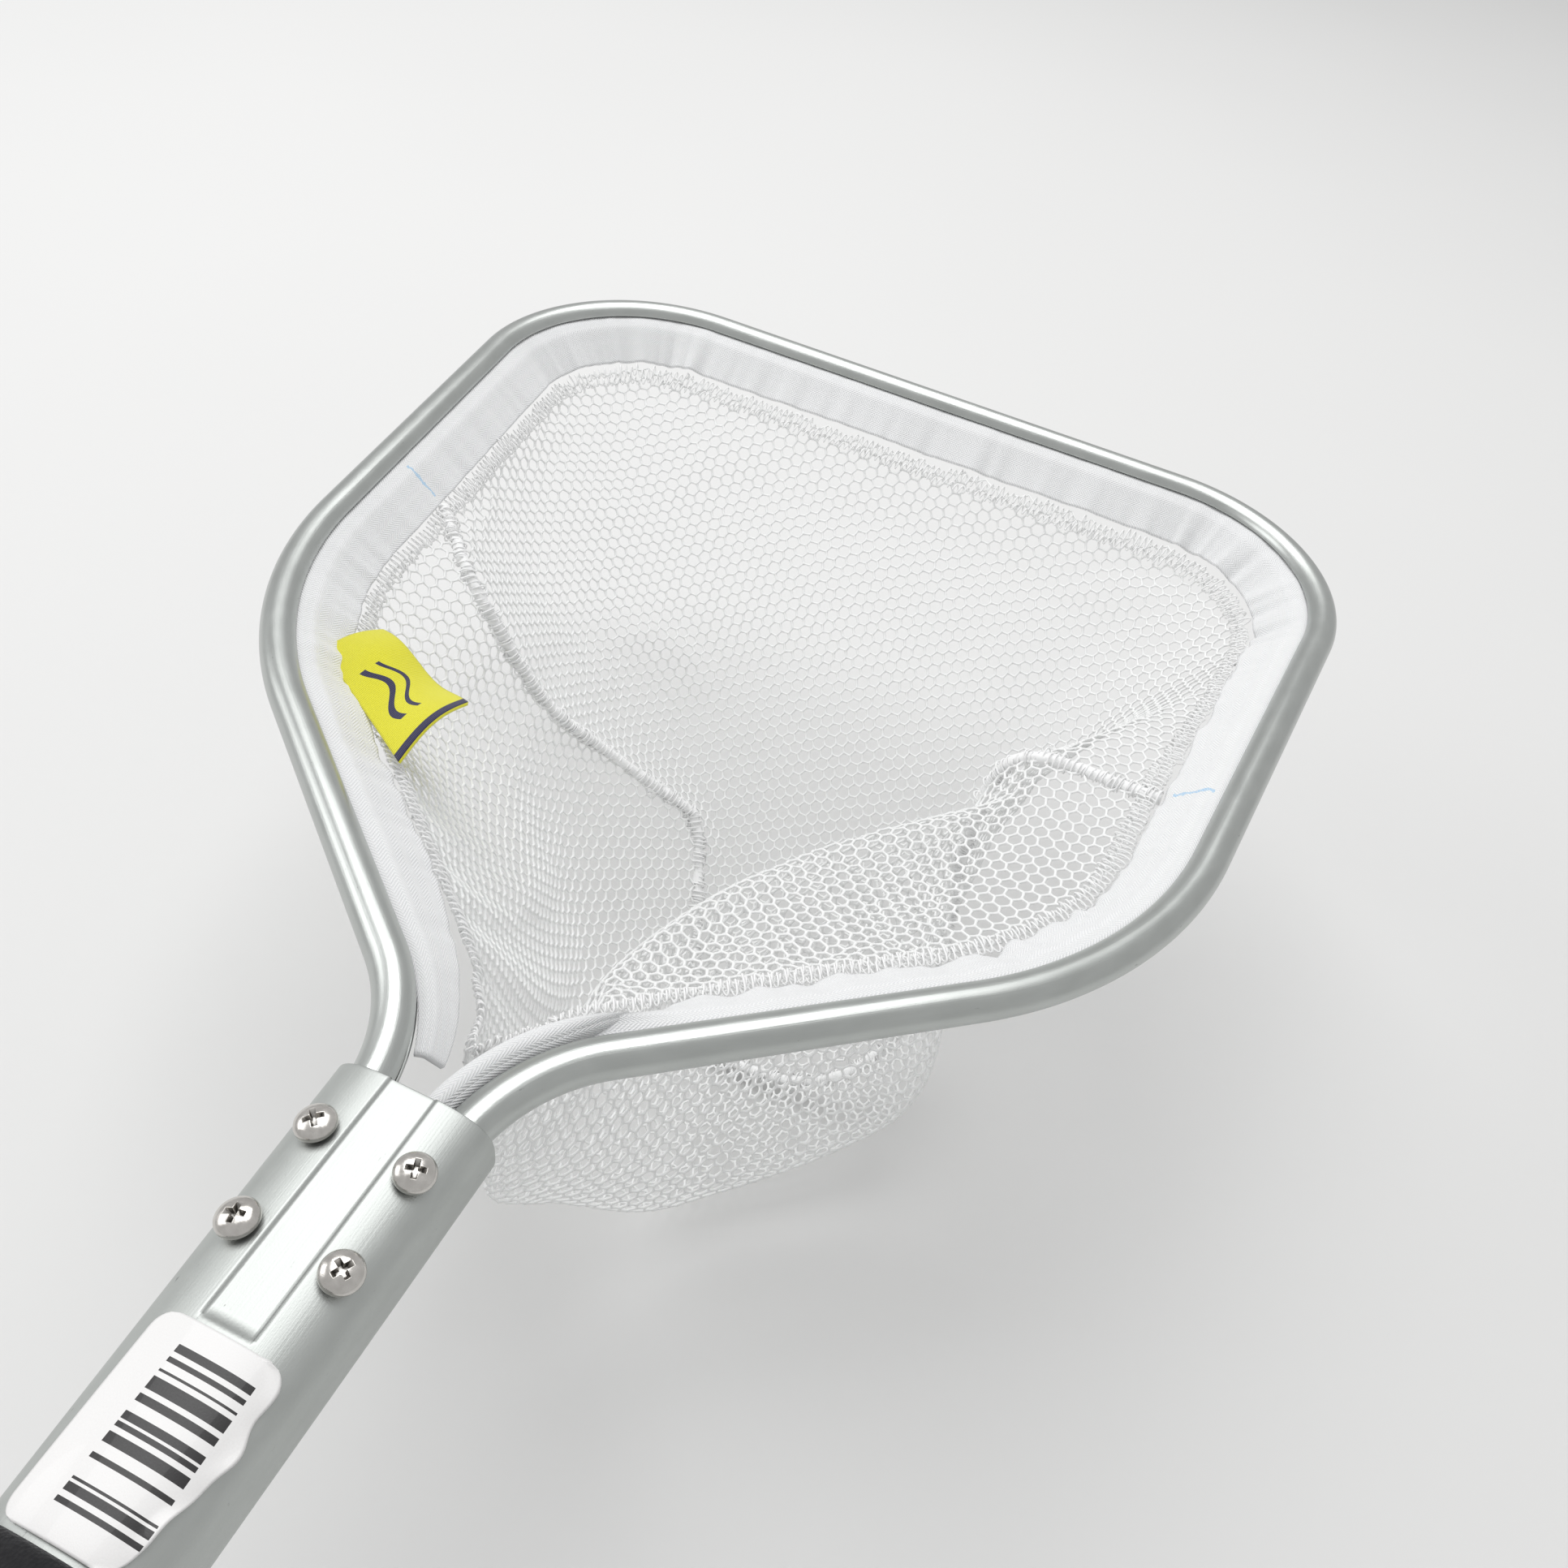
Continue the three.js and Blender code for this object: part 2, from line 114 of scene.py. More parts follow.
def grid_piece(name, grid, wrap_rows=False, wrap_columns=False, uv=None, smooth=True):
    """grid[i, j] is a point. Rows are joined to the next row, and columns to the next column."""
    rows, columns = grid.shape[:2]
    i = np.arange(rows if wrap_rows else rows - 1)
    j = np.arange(columns if wrap_columns else columns - 1)
    i, j = (a.ravel() for a in np.meshgrid(i, j, indexing="ij"))
    i2, j2 = (i + 1) % rows, (j + 1) % columns
    faces = np.stack([i * columns + j, i * columns + j2, i2 * columns + j2, i2 * columns + j], 1)
    points = grid.reshape(-1, 3)
    if wrap_rows and wrap_columns and volume(points, faces) < 0:
        faces = faces[:, ::-1]
    flat_uv = None if uv is None else np.asarray(uv).reshape(-1, 2)
    return mesh_piece(name, points, faces, flat_uv, smooth)


def finish_piece(piece, node=None):
    """Ride on the one body and stand for the CAD node."""
    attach(piece, "root")
    if node:
        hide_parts(*([node] if isinstance(node, str) else node))
    print(f"{piece.name}: {len(piece.data.polygons)} faces")
    return piece


# %% [markdown]
# ## Materials
# Every finish is a small node tree. A helper links nodes by name, so that each material reads as a
# short recipe. Colours and roughness that don't change over the surface are set on the shader itself.

# %% A helper that builds node trees
def socket_key(word):
    """i0, i1 and so on mean a socket's number. Other words are its name, with _ for a space."""
    return int(word[1:]) if word[0] == "i" and word[1:].isdigit() else word.replace("_", " ")


class Recipe:
    """A material whose nodes are added in one line each."""

    def __init__(self, name, **shader):
        self.material = bpy.data.materials.new(name)
        self.material.use_nodes = True
        self.tree = self.material.node_tree
        self.shader = self.tree.nodes["Principled BSDF"]
        for socket, value in shader.items():
            self.shader.inputs[socket.replace("_", " ")].default_value = value

    def add(self, kind, settings=None, **inputs):
        node = self.tree.nodes.new("ShaderNode" + kind)
        for key, value in (settings or {}).items():
            setattr(node, key, value)
        for key, value in inputs.items():
            self.feed(node, socket_key(key), value)
        return node

    def feed(self, node, socket, value):
        if isinstance(value, bpy.types.Node):
            value = value.outputs[0]
        if isinstance(value, bpy.types.NodeSocket):
            self.tree.links.new(value, node.inputs[socket])
        else:
            node.inputs[socket].default_value = value

    def math(self, operation, a, b=0.0, clamp=False):
        return self.add("Math", {"operation": operation, "use_clamp": clamp}, i0=a, i1=b)

    def ramp(self, fac, *stops):
        node = self.add("ValToRGB", Fac=fac)
        elements = node.color_ramp.elements
        while len(elements) < len(stops):
            elements.new(0.5)
        for element, (place, colour) in zip(elements, stops):
            element.position = place
            element.color = colour if len(colour) == 4 else (*colour, 1)
        return node

    def mix(self, fac, a, b, blend="MIX"):
        node = self.add("Mix", {"data_type": "RGBA", "blend_type": blend})
        for socket, value in ((0, fac), (6, a), (7, b)):
            self.feed(node, socket, value)
        return node.outputs[2]

    def coords(self, source, scale=(1, 1, 1), turn=(0, 0, 0)):
        place = self.add("TexCoord")
        return self.add("Mapping", Vector=place.outputs[source], Scale=scale, Rotation=turn)

    def colour(self, value):
        self.feed(self.shader, "Base Color", value)

    def rough(self, value):
        self.feed(self.shader, "Roughness", value)

    def bump(self, height, distance, strength=1.0):
        node = self.add("Bump", Height=height, Distance=distance, Strength=strength)
        self.feed(self.shader, "Normal", node)
        return node


def grey(v):
    return (v, v, v)


# %% [markdown]
# ### Satin aluminium
# Anodised tube has three scales of detail: long drawing lines that run with the tube, a fine grain from
# the satin etch, and a few dark rubs where it has been handled. The lines read the UV map, which is in
# millimetres along and around the tube, so they follow every bend.

# %% Satin aluminium
def satin_aluminium(name, rubs=0.5, satin=0.27):
    m = Recipe(name, Metallic=1.0)
    lines = m.add("TexNoise", Vector=m.coords("UV", (0.02, 3.2, 1)), Scale=1.0, Detail=4.0)
    grain = m.add("TexNoise", Vector=m.coords("UV", (1, 1, 1)), Scale=2.6, Detail=3.0)
    cloud = m.add("TexNoise", Vector=m.coords("UV", (0.12, 0.3, 1)), Scale=1.0, Detail=3.0)
    specks = m.add("TexNoise", Vector=m.coords("UV", (0.35, 0.9, 1)), Scale=1.0, Detail=5.0)
    marks = m.ramp(specks, (0.70, grey(0)), (0.76, grey(rubs)))
    tone = m.mix(cloud.outputs[0], (0.45, 0.47, 0.455, 1), (0.56, 0.58, 0.565, 1))
    m.colour(m.mix(marks, tone, (0.22, 0.225, 0.22, 1)))
    rough = m.math("MULTIPLY_ADD", cloud.outputs[0], 0.10)
    rough.inputs[2].default_value = satin
    m.rough(m.math("ADD", rough, m.math("MULTIPLY", marks, 0.2)))
    height = m.math("MULTIPLY", lines.outputs[0], 0.7)
    height = m.math("ADD", height, m.math("MULTIPLY", grain.outputs[0], 0.5))
    m.bump(height, 0.00006, 0.6)
    return m.material


aluminium = satin_aluminium("satin_aluminium_tube")

# %% [markdown]
# ## The hoop's path
# One tube is bent into the whole hoop: a straight leg, a bend outwards at the neck, a straight, a wide
# bend back, the straight side, the tight corner and the far side. The same list of straights and bends
# as in the CAD model gives it, and the other half is its mirror image.

# %% The path as a function of length
HOOP_R = 4 * MM
leg_low, leg_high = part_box("hoop_tube")
HOOP_Z = (leg_low.z + leg_high.z) / 2
MOUTH_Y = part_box("handle_tube")[1].y
LEG_X = 9 * MM
LEG_START = leg_low.y
NECK_BEND, SIDE_BEND = 0.893, 0.773
HALF_PIECES = [
    ("line", 31 * MM),
    ("bend", 38 * MM, NECK_BEND),
    ("line", 70 * MM),
    ("bend", 93.7 * MM, -SIDE_BEND),
    ("line", 92.5 * MM),
    ("bend", 48.3 * MM, -(math.pi / 2 + NECK_BEND - SIDE_BEND)),
]


def trace_half(step=0.5 * MM):
    x, y, heading, rows = LEG_X, LEG_START, 0.0, []
    length = 0.0

    def run(distance, turn):
        nonlocal x, y, heading, length
        count = max(2, int(distance / step))
        for _ in range(count):
            rows.append((length, x, y, heading))
            middle = heading + turn / count / 2
            x += distance / count * math.sin(middle)
            y += distance / count * math.cos(middle)
            heading += turn / count
            length += distance / count

    for kind, size, *turn in HALF_PIECES:
        run(size if kind == "line" else size * abs(turn[0]), turn[0] if turn else 0.0)
    run(x, 0.0)
    rows.append((length, 0.0, y, heading))
    return np.array(rows)


half = trace_half()
HALF_LENGTH = half[-1, 0]
HOOP_LENGTH = 2 * HALF_LENGTH
back_half = half[::-1][1:] * [1, -1, 1, 1]
path_s = np.concatenate([half[:, 0], HOOP_LENGTH - back_half[:, 0]])
path_x = np.concatenate([half[:, 1], back_half[:, 1]])
path_y = np.concatenate([half[:, 2], back_half[:, 2]])
path_in_x = np.concatenate([-np.cos(half[:, 3]), np.cos(back_half[:, 3])])
path_in_y = np.concatenate([np.sin(half[:, 3]), np.sin(back_half[:, 3])])


def hoop_at(s):
    """Centre of the tube and the inward direction, at lengths s along the hoop from the right leg's end."""
    s = np.asarray(s, float)
    x, y = np.interp(s, path_s, path_x), np.interp(s, path_s, path_y)
    in_x, in_y = np.interp(s, path_s, path_in_x), np.interp(s, path_s, path_in_y)
    centre = np.stack([x, y, np.full(s.shape, HOOP_Z)], -1)
    inward = np.stack([in_x, in_y, np.zeros(s.shape)], -1)
    return centre, inward / np.linalg.norm(inward, axis=-1, keepdims=True)


print(f"hoop tube: {HOOP_LENGTH / MM:.0f} mm long, far side at y = {path_y.max() / MM:.1f} mm")

# %% [markdown]
# ## The hoop tube
# The tube is a C in section: a slot faces inwards all the way round and the tape comes out of it. It
# could be a bevelled curve, but a curve's bevel can't hold the slot towards the inside. So the section
# is swept along the path with "inwards" as one of its axes, and the slot's lips are rounded.

# %% The C section and its sweep
SLOT_HALF = 1 * MM
WALL = 1 * MM


def c_section(outer_points=44, inner_points=30):
    """Points (inwards, up) round the wall of the tube."""
    outer_edge = math.asin((SLOT_HALF + 0.25 * MM) / HOOP_R)
    bore = HOOP_R - WALL
    inner_edge = math.asin((SLOT_HALF + 0.2 * MM) / bore)
    out_angles = np.linspace(outer_edge, 2 * math.pi - outer_edge, outer_points)
    in_angles = np.linspace(2 * math.pi - inner_edge, inner_edge, inner_points)
    outside = HOOP_R * np.stack([np.cos(out_angles), np.sin(out_angles)], 1)
    inside = bore * np.stack([np.cos(in_angles), np.sin(in_angles)], 1)
    lip_in, lip_out = bore + 0.15 * MM, HOOP_R - 0.2 * MM
    lower = [(lip_out, -SLOT_HALF), (lip_in, -SLOT_HALF)]
    upper = [(lip_in, SLOT_HALF), (lip_out, SLOT_HALF)]
    return np.concatenate([outside, lower, inside, upper])


def sweep(s, section):
    """Grid of points: section[k] is (inwards, up), or section[i, k] where it changes along the path."""
    centre, inward = hoop_at(s)
    if section.ndim == 2:
        section = np.broadcast_to(section, (len(s), *section.shape))
    up = np.array([0, 0, 1.0])
    return centre[:, None] + section[..., :1] * inward[:, None] + section[..., 1:] * up


def around(section):
    """Distance round a section, in millimetres, for the UV map."""
    return np.concatenate([[0], np.cumsum(np.linalg.norm(np.diff(section, axis=0), axis=1))]) / MM


HOOP_ROWS = 700
hoop_s = np.linspace(0, HOOP_LENGTH, HOOP_ROWS)
section = c_section()
hoop_grid = sweep(hoop_s, section)
hoop_uv = np.stack(np.broadcast_arrays(hoop_s[:, None] / MM, around(section)[None, :]), -1)
hoop = grid_piece("hoop_tube_bent", hoop_grid, wrap_columns=True, uv=hoop_uv)


def cap_ends(piece):
    """Close the two open ends of a swept tube with one face each, and turn all faces outwards."""
    mesh = piece.data
    body = bmesh.new()
    body.from_mesh(mesh)
    bmesh.ops.holes_fill(body, edges=[e for e in body.edges if e.is_boundary], sides=0)
    bmesh.ops.recalc_face_normals(body, faces=body.faces)
    body.to_mesh(mesh)
    body.free()


cap_ends(hoop)
hoop.data.materials.append(aluminium)
finish_piece(hoop, "hoop_tube")

# %% [markdown]
# ## The handle tube
# Its section is a superellipse: round at the butt, and pressed to a flat oval at the mouth so that it
# grips both legs. A strip is pressed down between the legs, with a crisp edge on each side. A ring of
# points at each station gives the shape. The ring always has points on the strip's two edges, so that
# the crease stays straight.

# %% Rings round the handle
TUBE_R = 12.7
TUBE_WALL = 1.2
FLATTEN_LENGTH = 115
MOUTH_WIDEN = 2.5
MOUTH_SQUASH = 3.6
STRIP_HALF = 4.3
STRIP_LENGTH = 44
STRIP_DEPTH = 0.5
STRIP_POINTS = 15


def oval(behind):
    """Half-width, half-height and power of the section, in millimetres behind the mouth."""
    s = np.clip(1 - np.asarray(behind, float) / FLATTEN_LENGTH, 0, 1)
    return TUBE_R + MOUTH_WIDEN * s, TUBE_R - MOUTH_SQUASH * s, 2 + s


def handle_point(angle, behind, offset=0.0):
    """A point on the handle's surface. The angle is from +Z towards +X and the offset is outwards."""
    a, b, n = oval(behind)
    r = (np.abs(np.sin(angle) / a) ** n + np.abs(np.cos(angle) / b) ** n) ** (-1 / n) + offset
    y = MOUTH_Y / MM - np.asarray(behind, float) + 0 * r
    return np.stack([r * np.sin(angle), y, r * np.cos(angle)], -1) * MM


def angle_at(x, behind):
    """The angle of the point on the top of the section at that x."""
    a, b, n = oval(behind)
    return math.atan2(x, b * (1 - abs(x / a) ** n) ** (1 / n))


def handle_ring(behind, offset=0.0, sides=96):
    edge = angle_at(STRIP_HALF + 0.1, max(behind, 0))
    floor_angles = [angle_at(x, max(behind, 0))
                    for x in np.linspace(-STRIP_HALF, STRIP_HALF, STRIP_POINTS)]
    angles = np.concatenate([floor_angles, np.linspace(edge, 2 * math.pi - edge, sides)])
    ring = handle_point(angles, behind, offset)
    if behind < STRIP_LENGTH:
        half_height = oval(max(behind, 0))[1]
        ring[:STRIP_POINTS, 2] = (half_height - STRIP_DEPTH + offset) * MM
    return ring


butt_side = (MOUTH_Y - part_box("handle_tube")[0].y) / MM
stations = [butt_side, 200, 150, FLATTEN_LENGTH, *np.arange(110, 44.5, -5), STRIP_LENGTH + 0.2,
            STRIP_LENGTH - 0.05, *np.arange(42, 1, -3), 0.6, 0.2]
outside = [handle_ring(b) for b in stations]
LIP_PROFILE = [(0.05, -0.06), (0.0, -0.2), (0.0, -1.0), (0.2, -TUBE_WALL)]
lip = [handle_ring(*place) for place in LIP_PROFILE]
inside = [handle_ring(b, -TUBE_WALL) for b in stations[::-1][1:]]
handle_grid = np.array(outside + lip + inside)
ring_mm = np.concatenate([[0], np.cumsum(np.linalg.norm(np.diff(handle_grid[0], axis=0), axis=1))]) / MM
handle_uv = np.stack(np.broadcast_arrays(handle_grid[:, :1, 1] / MM, ring_mm[None, :]), -1)
handle = grid_piece("handle_tube_pressed", handle_grid, wrap_rows=True, wrap_columns=True, uv=handle_uv)
handle.data.materials.append(satin_aluminium("satin_aluminium_handle", 0.7, 0.42))
finish_piece(handle, "handle_tube")

# %% [markdown]
# ## Foam grip and end cap
# The grip is a foam sleeve stretched over the tube, so it repeats the handle's rings a little further
# out, with rounded ends. Foam is matt and finely pored: two sizes of pores go into the bump and the
# colour. The cap that closes the butt is turned, so its profile is spun round the axis.

# %% The grip sleeve
GRIP_GAP = 0.3
GRIP_WALL = 2.9
grip_low, grip_high = (v.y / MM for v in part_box("grip_sleeve"))
mouth_mm = MOUTH_Y / MM


def plain_ring(behind, offset, sides=112):
    return handle_point(np.linspace(0, 2 * math.pi, sides, endpoint=False), behind, offset)


front, rear = mouth_mm - grip_high, mouth_mm - grip_low
round_in = [(0.0, 1.9), (0.15, 1.2), (0.5, 0.6), (1.1, 0.2), (2.0, 0.0)]
outer = [plain_ring(front + d, GRIP_GAP + GRIP_WALL - dip) for d, dip in round_in]
outer += [plain_ring(b, GRIP_GAP + GRIP_WALL) for b in np.linspace(front + 4, rear - 4, 40)]
outer += [plain_ring(rear - d, GRIP_GAP + GRIP_WALL - dip) for d, dip in round_in[::-1]]
inner = [plain_ring(b, GRIP_GAP) for b in np.linspace(rear, front, 12)]
grip_grid = np.array(outer + inner)
grip = grid_piece("grip_sleeve_foam", grip_grid, wrap_rows=True, wrap_columns=True)


def grip_foam():
    m = Recipe("grip_foam_black")
    m.shader.inputs["Specular IOR Level"].default_value = 0.25
    m.shader.inputs["Sheen Weight"].default_value = 0.15
    place = m.coords("Object")
    pores = m.add("TexVoronoi", Vector=place, Scale=1900.0)
    fine = m.add("TexNoise", Vector=place, Scale=900.0, Detail=4.0)
    wear = m.add("TexNoise", Vector=place, Scale=45.0, Detail=4.0)
    m.colour(m.mix(wear.outputs[0], (0.006, 0.006, 0.007, 1), (0.022, 0.022, 0.024, 1)))
    m.rough(m.ramp(fine.outputs[0], (0.3, grey(0.75)), (0.7, grey(0.98))))
    m.bump(m.math("ADD", pores.outputs[0], fine.outputs[0]), 0.00018, 0.7)
    return m.material


grip.data.materials.append(grip_foam())
finish_piece(grip, "grip_sleeve")

# %% The end cap, spun from a profile
CAP_R = 15.5
CAP_T = 4.0
PLUG_R = TUBE_R - TUBE_WALL - 0.3
plug_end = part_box("end_cap")[1].y / MM


def spun(name, profile, along, sides=96):
    """profile is (radius, height) in millimetres. along is 'y' or 'z'. Both ends lie on the axis."""
    angle = np.linspace(0, 2 * math.pi, sides, endpoint=False)
    profile = np.asarray(profile, float)
    radius, height = profile[:, :1], profile[:, 1:] + 0 * angle
    a, b = radius * np.cos(angle), radius * np.sin(angle)
    grid = np.stack([a, height, b] if along == "y" else [a, b, height], -1) * MM
    piece = grid_piece(name, grid, wrap_columns=True)
    body = bmesh.new()
    body.from_mesh(piece.data)
    bmesh.ops.remove_doubles(body, verts=body.verts, dist=1e-6)
    bmesh.ops.recalc_face_normals(body, faces=body.faces)
    body.to_mesh(piece.data)
    body.free()
    return piece


cap_profile = [(0, 0), (CAP_R - 2.2, 0), (CAP_R - 1.1, 0.2), (CAP_R - 0.3, 0.8), (CAP_R, 1.6),
               (CAP_R, CAP_T - 0.5), (CAP_R - 0.15, CAP_T - 0.15), (CAP_R - 0.5, CAP_T), (PLUG_R, CAP_T),
               (PLUG_R, plug_end - 1), (PLUG_R - 1, plug_end), (0, plug_end)]
cap = spun("end_cap_moulded", cap_profile, "y")


def moulded_plastic():
    m = Recipe("cap_plastic_black")
    place = m.coords("Object")
    grain = m.add("TexNoise", Vector=place, Scale=1400.0, Detail=3.0)
    cloud = m.add("TexNoise", Vector=place, Scale=80.0, Detail=3.0)
    m.colour(m.mix(cloud.outputs[0], (0.012, 0.012, 0.013, 1), (0.024, 0.024, 0.026, 1)))
    m.rough(m.ramp(cloud.outputs[0], (0.3, grey(0.38)), (0.7, grey(0.52))))
    m.bump(grain.outputs[0], 0.00008, 0.5)
    return m.material


cap.data.materials.append(moulded_plastic())
finish_piece(cap, "end_cap")

# %% [markdown]
# ## Four pan-head screws
# The screws are identical, apart from how far each one was turned. The head is spun from a profile,
# and a tapered cross is cut into it with a Boolean, which is the simplest way to a crisp recess.
# Geometry Nodes would set copies at points, but here each screw stays a piece of its own, so that it
# can stand for its own CAD node. The recess is darkened at the bottom by painted shade from an AO node.

# %% Build one screw, cut the cross, and place four
HEAD_R = 3.45
HEAD_H = 2.3
SHANK_R = 1.75
SCREW_LENGTH = 7.5


def polished_nickel():
    m = Recipe("nickel_screw_polished", Metallic=1.0)
    place = m.coords("Object")
    cloud = m.add("TexNoise", Vector=place, Scale=700.0, Detail=4.0)
    scratch = m.add("TexNoise", Vector=m.coords("Object", (400, 3200, 400)), Scale=1.0, Detail=2.0)
    # painted shade: an ambient occlusion node darkens the colour inside the cross recess
    recess_occlusion_shade = m.add("AmbientOcclusion", {"samples": 8}, Distance=0.0012)
    tone = m.mix(cloud.outputs[0], (0.50, 0.48, 0.45, 1), (0.74, 0.72, 0.69, 1))
    shade = m.ramp(recess_occlusion_shade.outputs["AO"], (0.25, grey(0.18)), (0.75, grey(1.0)))
    m.colour(m.mix(1.0, tone, shade, "MULTIPLY"))
    m.rough(m.ramp(cloud.outputs[0], (0.35, grey(0.14)), (0.7, grey(0.3))))
    m.bump(scratch.outputs[0], 0.00003, 0.4)
    return m.material


nickel = polished_nickel()
RIM_H = 0.55
dome = [(HEAD_R * math.sin(a), RIM_H + (HEAD_H - RIM_H) * math.cos(a))
        for a in np.linspace(0, math.pi / 2, 18)]
screw_profile = [*dome, (HEAD_R, 0.25), (HEAD_R - 0.2, 0), (SHANK_R, 0), (SHANK_R, -SCREW_LENGTH + 1),
                 (0, -SCREW_LENGTH)]


def cross_cutter():
    """Two tapered bars, crossed. They are wide at the top and close to a point at the bottom."""
    body = bmesh.new()
    for turn in (0, math.pi / 2):
        ring = []
        for z, half_long, half_wide in ((HEAD_H + 0.5, 2.15, 0.56), (HEAD_H - 1.5, 0.9, 0.3)):
            for sx, sy in ((-1, -1), (1, -1), (1, 1), (-1, 1)):
                x, y = sx * half_long, sy * half_wide
                ring.append(body.verts.new((x * math.cos(turn) - y * math.sin(turn),
                                            x * math.sin(turn) + y * math.cos(turn), z)))
        top, low = ring[:4], ring[4:]
        body.faces.new(top)
        body.faces.new(low[::-1])
        for k in range(4):
            body.faces.new((top[k], low[k], low[(k + 1) % 4], top[(k + 1) % 4]))
    bmesh.ops.recalc_face_normals(body, faces=body.faces)
    bmesh.ops.scale(body, vec=(MM, MM, MM), verts=body.verts)
    mesh = bpy.data.meshes.new("cross_cutter")
    body.to_mesh(mesh)
    body.free()
    cutter = bpy.data.objects.new("cross_cutter", mesh)
    bpy.context.scene.collection.objects.link(cutter)
    return cutter


def baked(source, name):
    """The evaluated mesh of an object as a new plain object. The source is removed."""
    bpy.context.view_layer.update()
    shown = source.evaluated_get(bpy.context.evaluated_depsgraph_get())
    mesh = bpy.data.meshes.new_from_object(shown)
    bpy.data.objects.remove(source)
    mesh.name = name
    piece = bpy.data.objects.new(name, mesh)
    bpy.context.scene.collection.objects.link(piece)
    return piece


blank = spun("screw_blank", screw_profile, "z", sides=64)
cutter = cross_cutter()
cut = blank.modifiers.new("cross", "BOOLEAN")
cut.operation, cut.object, cut.solver = "DIFFERENCE", cutter, "EXACT"
cut.use_self = True
round_edges = blank.modifiers.new("worn edges", "BEVEL")
round_edges.width, round_edges.segments, round_edges.angle_limit = 0.09 * MM, 2, math.radians(40)
pattern = baked(blank, "screw_pattern")
bpy.data.objects.remove(cutter)
pattern_points = np.array([v.co for v in pattern.data.vertices])
SCREW_TURNS = {"screw_right_front": 0.35, "screw_right_rear": 1.1,
               "screw_left_front": 0.75, "screw_left_rear": 0.2}
SCREW_TILT = 0.16
for node, turn in SCREW_TURNS.items():
    low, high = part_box(node)
    seat = np.array([(low.x + high.x) / 2, (low.y + high.y) / 2, high.z - HEAD_H * MM])
    tilt = math.copysign(SCREW_TILT, seat[0])
    spin = np.array((Euler((0, tilt, 0)).to_matrix() @ Euler((0, 0, turn)).to_matrix()))
    mesh = pattern.data.copy()
    moved = pattern_points @ spin.T + seat
    mesh.vertices.foreach_set("co", moved.ravel())
    mesh.update()
    screw = bpy.data.objects.new(node + "_pan_head", mesh)
    bpy.context.scene.collection.objects.link(screw)
    mesh.polygons.foreach_set("use_smooth", np.ones(len(mesh.polygons), bool))
    mesh.materials.clear()
    mesh.materials.append(nickel)
    mesh.set_sharp_from_angle(angle=math.radians(38))
    finish_piece(screw, node)
bpy.data.objects.remove(pattern)

# %% [markdown]
# ## The sticker
# A paper label is wrapped round the top of the tube. It is a grid in two directions, round the tube and
# along it, with its corners rounded by narrowing the end rows. One edge has come unstuck and waves.
# Its print is only a stack of plain bars: the lines of a code with no figures.

# %% The label's curved patch and its printed bars
LABEL_FRONT, LABEL_REAR = 45.3, 74.9
LABEL_LEFT, LABEL_RIGHT = math.radians(-46), math.radians(57.5)
LABEL_LIFT = 0.35
CORNER = 3.0


def label_grid(offset):
    rows = []
    length = LABEL_REAR - LABEL_FRONT
    stops = [np.linspace(0, CORNER, 9), np.linspace(CORNER, length - CORNER, 40)[1:],
             np.linspace(length - CORNER, length, 9)[1:]]
    for v in np.concatenate(stops):
        to_end = min(v, length - v)
        inset = CORNER - math.sqrt(max(CORNER ** 2 - (CORNER - to_end) ** 2, 0)) if to_end < CORNER else 0
        wave = 0.6 * math.sin(v * 0.30 + 0.8) + 0.2 * math.sin(v * 0.9 + 1) + 0.004 * v * v
        left = LABEL_LEFT + inset / TUBE_R
        right = LABEL_RIGHT - (inset + 0.9 + 0.9 * wave) / TUBE_R
        across = np.linspace(0, 1, 60)
        angle = left + (right - left) * across
        curl = 0.9 * np.clip((across - 0.90) / 0.10, 0, 1) ** 2 * (0.5 + 0.5 * math.sin(v * 0.6 + 0.6))
        base = handle_point(angle, LABEL_FRONT + v, LABEL_LIFT + offset)
        lifted = handle_point(angle, LABEL_FRONT + v, LABEL_LIFT + offset + curl)
        rows.append(np.where(curl[:, None] > 0, lifted, base))
    return np.array(rows)


def slab(name, top, bottom, uv_top):
    """A thin sheet with a top and a bottom grid of points, closed round its edge."""
    rows, columns = top.shape[:2]
    ring = np.concatenate([top, bottom[:, ::-1]], 1)
    uv = np.concatenate([uv_top, uv_top[:, ::-1]], 1)
    piece = grid_piece(name, ring, wrap_columns=True, uv=uv)
    body = bmesh.new()
    body.from_mesh(piece.data)
    body.verts.ensure_lookup_table()
    for row, flip in ((0, False), (rows - 1, True)):
        base = row * 2 * columns
        for j in range(columns - 1):
            quad = [base + j, base + 2 * columns - 1 - j, base + 2 * columns - 2 - j, base + j + 1]
            body.faces.new([body.verts[k] for k in (quad if not flip else quad[::-1])])
    bmesh.ops.recalc_face_normals(body, faces=body.faces)
    body.to_mesh(piece.data)
    body.free()
    piece.data.polygons.foreach_set("use_smooth", np.ones(len(piece.data.polygons), bool))
    return piece


label_top, label_under = label_grid(0.2), label_grid(0.0)
across_mm = np.degrees(np.arctan2(label_top[..., 0], label_top[..., 2])) * math.radians(1) * TUBE_R
label_uv = np.stack([across_mm, mouth_mm - label_top[..., 1] / MM], -1)
label = slab("handle_label_sticker", label_top, label_under, label_uv)


